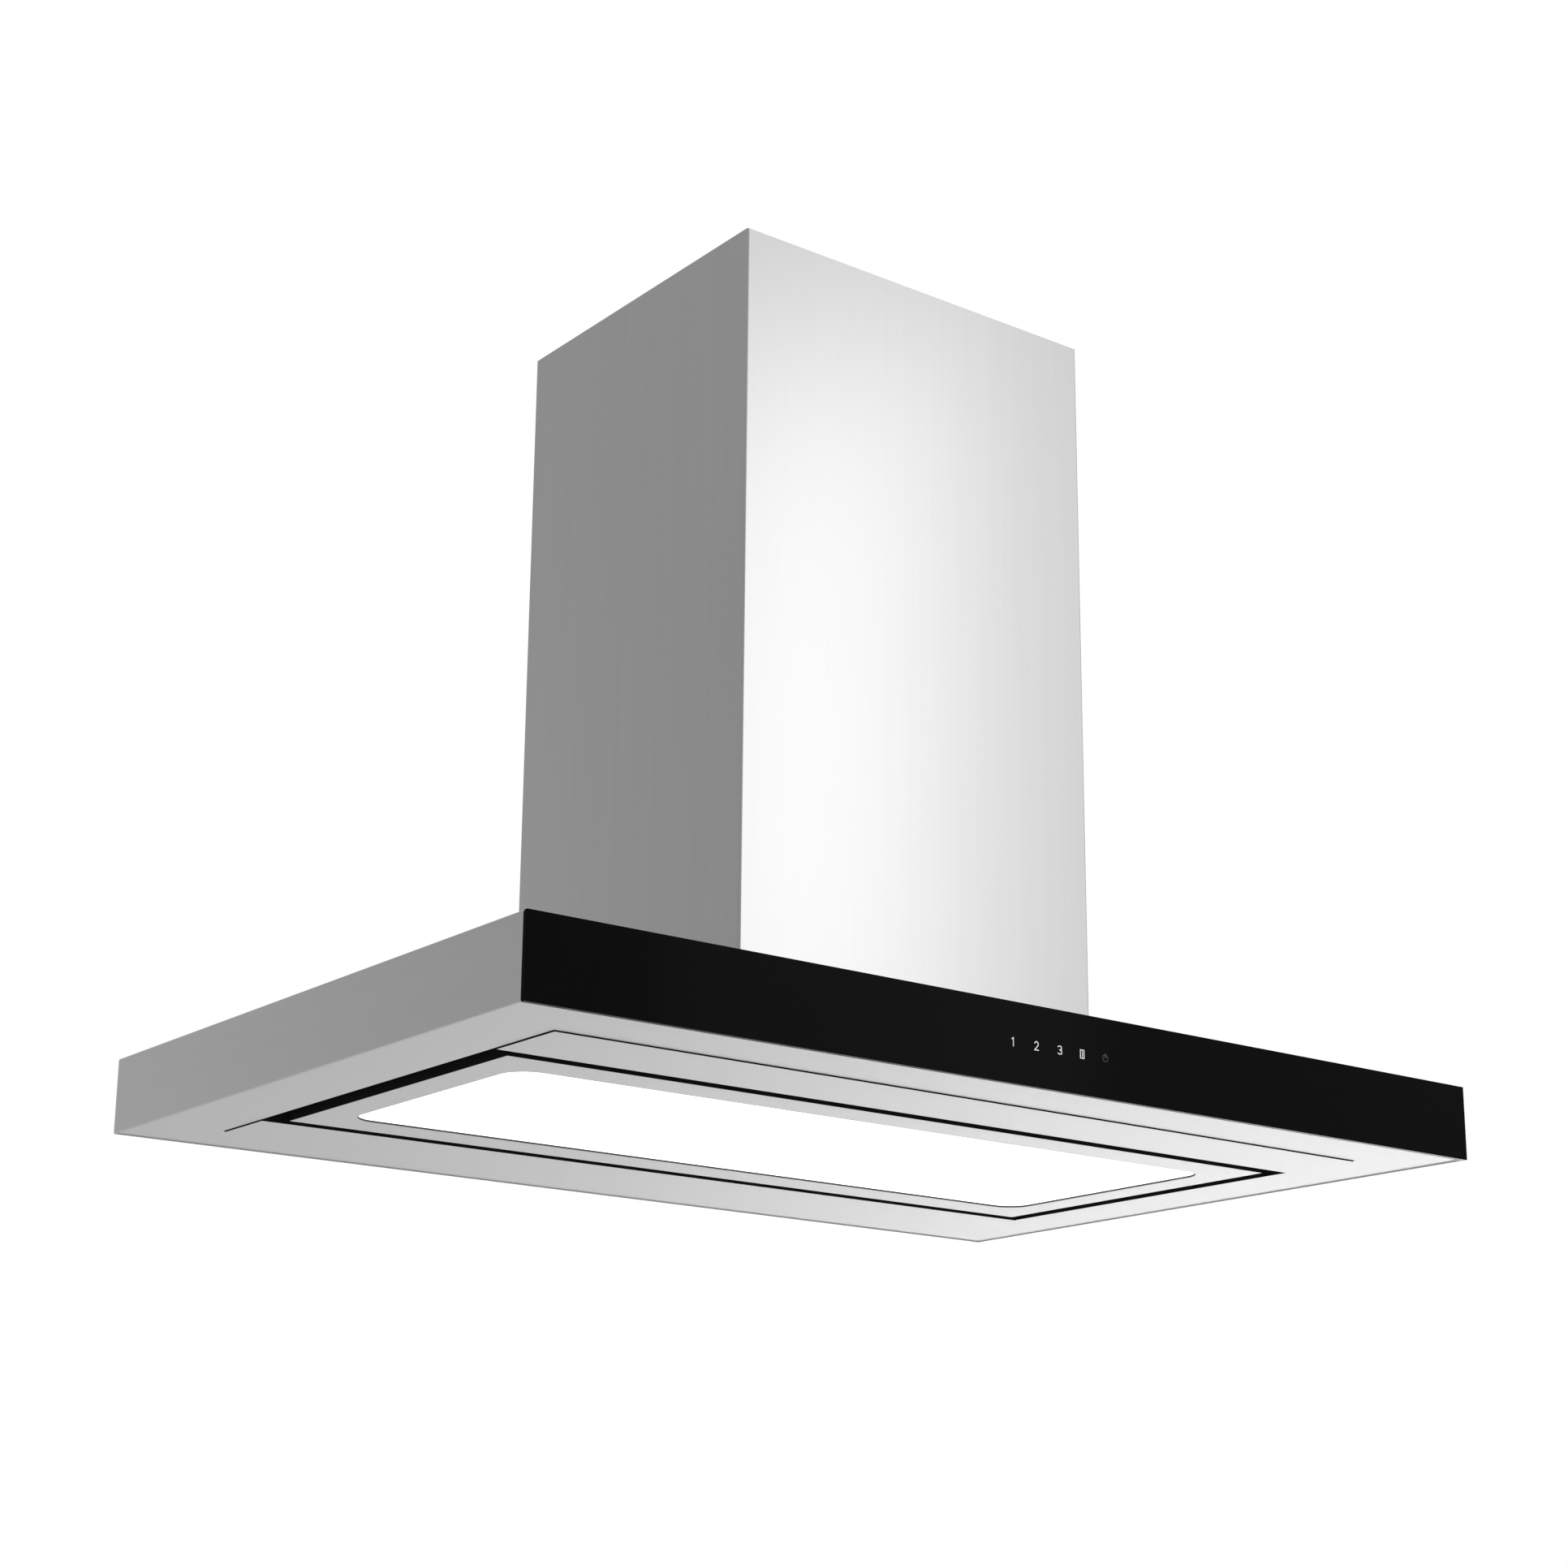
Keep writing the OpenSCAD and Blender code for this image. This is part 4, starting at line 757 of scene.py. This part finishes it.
def net_tree():
    """Expanded mesh: a diamond ring of flat strand on every point, as slit and pulled sheet."""
    tree, ids, given = start_tree("expanded_mesh", {
        "Cell Length": 0.008, "Cell Width": 0.005, "Strand Width": 0.001,
        "Strand Thickness": 0.0006}, "Net")
    diamond = wire(tree, "GeometryNodeCurvePrimitiveCircle", {"mode": "RADIUS"}, {
        "Resolution": 4, "Radius": 1.0})
    half_x = times(tree, (given, "Cell Length"), 0.5)
    half_y = times(tree, (given, "Cell Width"), 0.5)
    size = vector_of(tree, X=(half_x, 0), Y=(half_y, 0), Z=1.0)
    sized = wire(tree, "GeometryNodeTransform", {}, {
        "Geometry": (diamond, "Curve"), "Scale": (size, 0)})
    strand = wire(tree, "GeometryNodeCurvePrimitiveQuadrilateral", {"mode": "RECTANGLE"}, {
        "Width": (given, "Strand Width"), "Height": (given, "Strand Thickness")})
    ring_mesh = wire(tree, "GeometryNodeCurveToMesh", {}, {
        "Curve": (sized, 0), "Profile Curve": (strand, 0)})
    close_tree(tree, given, (ring_mesh, 0))
    return tree, ids


net_finish, start = start_finish("expanded_aluminium")
spot = place(start, (1, 1, 1))
cloud = noise(start, spot, 60.0, 4.0)
close_finish(start, {
    "Base Color": blend_colours(start, cloud, (0.5, 0.5, 0.51, 1), (0.74, 0.74, 0.75, 1)),
    "Metallic": 1.0,
    "Roughness": 0.32 + 0.15 * cloud,
    "Normal": relief(start, noise(start, spot, 1500.0), 0.1, 0.0001)})

pads = islands("filter_meshes")
net_spots = []
for low, high in pads:
    columns = int((high.x - low.x - 2 * net_inset) / net_cell_x)
    rows = int((high.y - low.y - 2 * net_inset) / net_cell_y)
    middle = (low + high) / 2
    for column in range(columns + 1):
        for row in range(rows + 1):
            x = middle.x + (column - columns / 2) * net_cell_x
            y = middle.y + (row - rows / 2) * net_cell_y
            if abs(y) >= latch_room_y or abs(x) >= latch_room_x:
                net_spots.append((x, y, low.z + strand_t))
net, net_ids = net_tree()
mesh = grow("filter_nets", net_spots, net, net_ids, {
    "Cell Length": net_cell_x, "Cell Width": net_cell_y, "Strand Width": strand_w,
    "Strand Thickness": strand_t, "Metal": net_finish})
set_piece(mesh, "canopy", net_finish)

# Expanded mesh layers under the net: the cells between the bright strands are painted darker, as
# painted shade deep in the layers.
gap_shaded_layers, start = start_finish("mesh_layers")
layers = start.node("ShaderNodeTexVoronoi", {"feature": "DISTANCE_TO_EDGE"}, {
    "Vector": place(start, (1.0, 1.5, 1.0)), "Scale": 230.0}, "Distance")
close_finish(start, {
    "Base Color": blend_colours(start, layers, (0.5, 0.5, 0.51, 1), (0.04, 0.04, 0.042, 1)),
    "Metallic": 1.0 - 0.6 * layers,
    "Roughness": 0.4 + 0.3 * layers,
    "Normal": relief(start, layers, 0.6, 0.0008)})
mesh = merged_copy("filter_meshes", "filter_layers")
for vert in mesh.vertices:
    if vert.co.z < pads[0][0].z + on_plane:
        vert.co.z += net_depth
set_piece(mesh, "canopy", gap_shaded_layers, ["filter_meshes"], filter_edge)

dress(black_plastic, "filter_latch_left", "filter_latch_right")

spring_wire, start = start_finish("spring_steel")
spot = place(start, (1, 1, 1))
drawn = noise(start, place(start, (900.0, 900.0, 60.0)), 1.0)
close_finish(start, {
    "Base Color": blend_colours(start, drawn, (0.38, 0.38, 0.39, 1), (0.6, 0.6, 0.61, 1)),
    "Metallic": 1.0,
    "Roughness": 0.18 + 0.12 * drawn,
    "Normal": relief(start, drawn, 0.05, 0.0001)})
dress(spring_wire, "latch_spring_left", "latch_spring_right")


# ---- Light panel ----
# A shallow brushed stainless pan with a round-cornered window, a milky acrylic diffuser laid in it,
# four aluminium lamp boards and a steel cover. Its sides are painted black as shade, like the
# recess.

pan_edge, diffuser_edge = 0.0003, 0.0004
pan_face, pan_wall = 0.0004, 0.001
pan_low, pan_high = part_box("light_panel_pan")
pan_middle, pan_half = (pan_low + pan_high) / 2, (pan_high - pan_low) / 2
mesh = merged_copy("light_panel_pan", "light_panel_face")
lay_grain(mesh, ACROSS, DEPTH)
set_piece(mesh, "light_panel", [brushed, painted_shade], ["light_panel_pan"], pan_edge)


def at_pan_side(face):
    """True for the upright outer faces of the pan, above its bright lower edge."""
    spot = face.center - pan_middle
    outward = max(abs(spot.x) - pan_half.x, abs(spot.y) - pan_half.y)
    return abs(face.normal.z) < 0.5 and face.center.z > pan_low.z + pan_face and outward > -pan_wall


# The pan's upright outer sides get the black painted shade.
paint_shade_on(mesh, at_pan_side)

lit, start = start_finish("lit_diffuser")
spot = place(start, (1, 1, 1))
milk = noise(start, spot, 18.0, 3.0)
close_finish(start, {
    "Base Color": blend_colours(start, milk, (0.86, 0.86, 0.86, 1), (0.92, 0.92, 0.92, 1)),
    "Roughness": 0.5 + 0.1 * milk,
    "Emission Color": blend_colours(start, milk, (0.97, 0.98, 1.0, 1), (1.0, 1.0, 1.0, 1)),
    "Emission Strength": 1.6})
mesh = merged_copy("light_diffuser", "acrylic_diffuser")
set_piece(mesh, "light_panel", lit, ["light_diffuser"], diffuser_edge)

# A dark rubber ring round the diffuser in the window; only its upright inner face shows, as a dark
# line of painted shade where the window's wall lies in shadow.
shade_ring_t, shade_ring_lift, shade_ring_gap = 0.0005, 0.0003, 1e-5
window_margin_x, window_margin_y, window_r = 0.030, 0.035, 0.022
window_x, window_y = pan_half.x - window_margin_x, pan_half.y - window_margin_y
shade_ring_low, shade_ring_high = pan_low.z + shade_ring_lift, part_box("light_diffuser")[0].z


def rounded_loop(half_x, half_y, radius, steps=12):
    """A rectangle with round corners about the origin, anticlockwise."""
    loop = []
    for sx, sy, start_angle in ((1, 1, 0), (-1, 1, 90), (-1, -1, 180), (1, -1, 270)):
        for step in range(steps + 1):
            angle = math.radians(start_angle + 90 * step / steps)
            loop.append((sx * (half_x - radius) + radius * math.cos(angle),
                         sy * (half_y - radius) + radius * math.sin(angle)))
    return loop


shape = bmesh.new()
rings = []
for inward, z in ((0.0, shade_ring_low), (0.0, shade_ring_high),
                  (shade_ring_t, shade_ring_high), (shade_ring_t, shade_ring_low)):
    outline = rounded_loop(window_x - shade_ring_gap - inward, window_y - shade_ring_gap - inward,
                           window_r - inward)
    rings.append([shape.verts.new((x, pan_middle.y + y, z)) for x, y in outline])
for ring_a, ring_b in zip(rings, rings[1:] + rings[:1]):
    for i in range(len(ring_a)):
        j = (i + 1) % len(ring_a)
        shape.faces.new((ring_a[i], ring_a[j], ring_b[j], ring_b[i]))
bmesh.ops.recalc_face_normals(shape, faces=shape.faces)
mesh = mesh_of(shape, "window_gasket")
set_piece(mesh, "light_panel", rubber)

lamp_board, start = start_finish("lamp_board")
spot = place(start, (1, 1, 1))
chips = start.node("ShaderNodeTexNoise", {}, {"Vector": spot, "Scale": 200.0}, "Fac")
close_finish(start, {
    "Base Color": blend_colours(start, chips, (0.8, 0.78, 0.66, 1), (0.88, 0.88, 0.86, 1)),
    "Roughness": 0.3 + 0.1 * chips,
    "Emission Color": blend_colours(start, chips, (1.0, 0.97, 0.9, 1), (1.0, 1.0, 1.0, 1)),
    "Emission Strength": 0.6})
dress(lamp_board, "led_strips")
dress(zinc, "light_panel_cover", "hinge_brackets", "panel_hinge_leaves")
dress(motor_can, "magnet_catches")


# ---- Studio ----
# A pale floor well below the hood, clear when looked at from beneath, in a white surround. A soft
# key light stands at the front right, two more lift the far floor, and the left side is darker.

floor_z, floor_radius = -2.35, 40.0
shape = bmesh.new()
bmesh.ops.create_circle(shape, cap_ends=True, segments=96, radius=floor_radius)
mesh = mesh_of(shape, "floor")
mesh.transform(Matrix.Translation((0, 0, floor_z)))
floor = bpy.data.objects.new("floor", mesh)
bpy.context.scene.collection.objects.link(floor)
pale, start = start_finish("pale_floor")
stain = noise(start, place(start, (1, 1, 1)), 0.6, 4.0)
close_finish(start, {
    "Base Color": blend_colours(start, stain, grey(0.7), grey(0.74)),
    "Alpha": 1 - start.node("ShaderNodeNewGeometry", {}, {}, "Backfacing"),
    "Roughness": 0.7,
    "Specular IOR Level": 0.1})
mesh.materials.append(pale)

world = bpy.data.worlds.new("room")
bpy.context.scene.world = world
world.use_nodes = True
world.node_tree.nodes.clear()
start = Signal(world.node_tree)
direction = start.node("ShaderNodeTexCoord", {}, {}, "Generated")


def patch(axis, amount, sharp):
    """Light from one side of the room, which fades away from its axis."""
    towards = start.node("ShaderNodeVectorMath", {"operation": "DOT_PRODUCT"}, {
        0: direction, 1: tuple(Vector(axis).normalized())}, "Value")
    return start.math("MAXIMUM", towards, 0.0) ** sharp * amount


room = (0.36 + patch((0, 0, 1), 1.3, 5.0) + patch((0, 1, 0), 0.6, 10.0)
        + patch((0.6, -0.757, 0.25), 0.8, 6.0))
seen = start.node("ShaderNodeLightPath", {}, {}, "Is Camera Ray")
level = seen + (1 - seen) * room
backdrop = start.node("ShaderNodeBackground", {}, {
    "Color": (1, 1, 1, 1), "Strength": level}, "Background")
start.node("ShaderNodeOutputWorld", {}, {"Surface": backdrop})


def softbox(name, spot, aim, width, height, power):
    """A rectangular light at a spot that faces its aim, unseen by the camera."""
    lamp_data = bpy.data.lights.new(name, "AREA")
    lamp_data.shape, lamp_data.energy = "RECTANGLE", power
    lamp_data.size, lamp_data.size_y = width, height
    box = bpy.data.objects.new(name, lamp_data)
    box.location = spot
    box.rotation_euler = (Vector(aim) - Vector(spot)).to_track_quat("-Z", "Y").to_euler()
    box.visible_camera = False
    bpy.context.scene.collection.objects.link(box)


softbox("key", (0.62, -1.25, -0.10), (-0.08, -0.15, -0.42), 0.5, 1.2, 2.05)
softbox("far_floor_wash", (10.5, 9.5, 0.3), (10.5, 9.5, floor_z), 3.5, 7.0, 900.0)
softbox("near_floor_wash", (8.5, 4.5, 0.3), (8.5, 4.5, floor_z), 4.0, 4.0, 210.0)

# The camera stands low at the front left and looks up under the hood.
eye = Vector((-1.3923, -1.8070, -1.0988))
turn, tilt, lean = math.radians(37.251), math.radians(15.78), math.radians(0.465)
forward = Vector((
    math.sin(turn) * math.cos(tilt), math.cos(turn) * math.cos(tilt), math.sin(tilt)))
right = Vector((math.cos(turn), -math.sin(turn), 0))
over = right.cross(forward)
right, over = (math.cos(lean) * right + math.sin(lean) * over,
               math.cos(lean) * over - math.sin(lean) * right)
lens = bpy.data.cameras.new("camera")
lens.lens, lens.sensor_width, lens.shift_y = 66.44, 36.0, 0.05
lens.clip_start, lens.clip_end = 0.05, 200.0
camera = bpy.data.objects.new("camera", lens)
camera.matrix_world = Matrix((
    (right.x, over.x, -forward.x, eye.x), (right.y, over.y, -forward.y, eye.y),
    (right.z, over.z, -forward.z, eye.z), (0, 0, 0, 1)))
bpy.context.scene.collection.objects.link(camera)
bpy.context.scene.camera = camera
bpy.context.scene.view_settings.view_transform = "Standard"

bpy.context.view_layer.update()
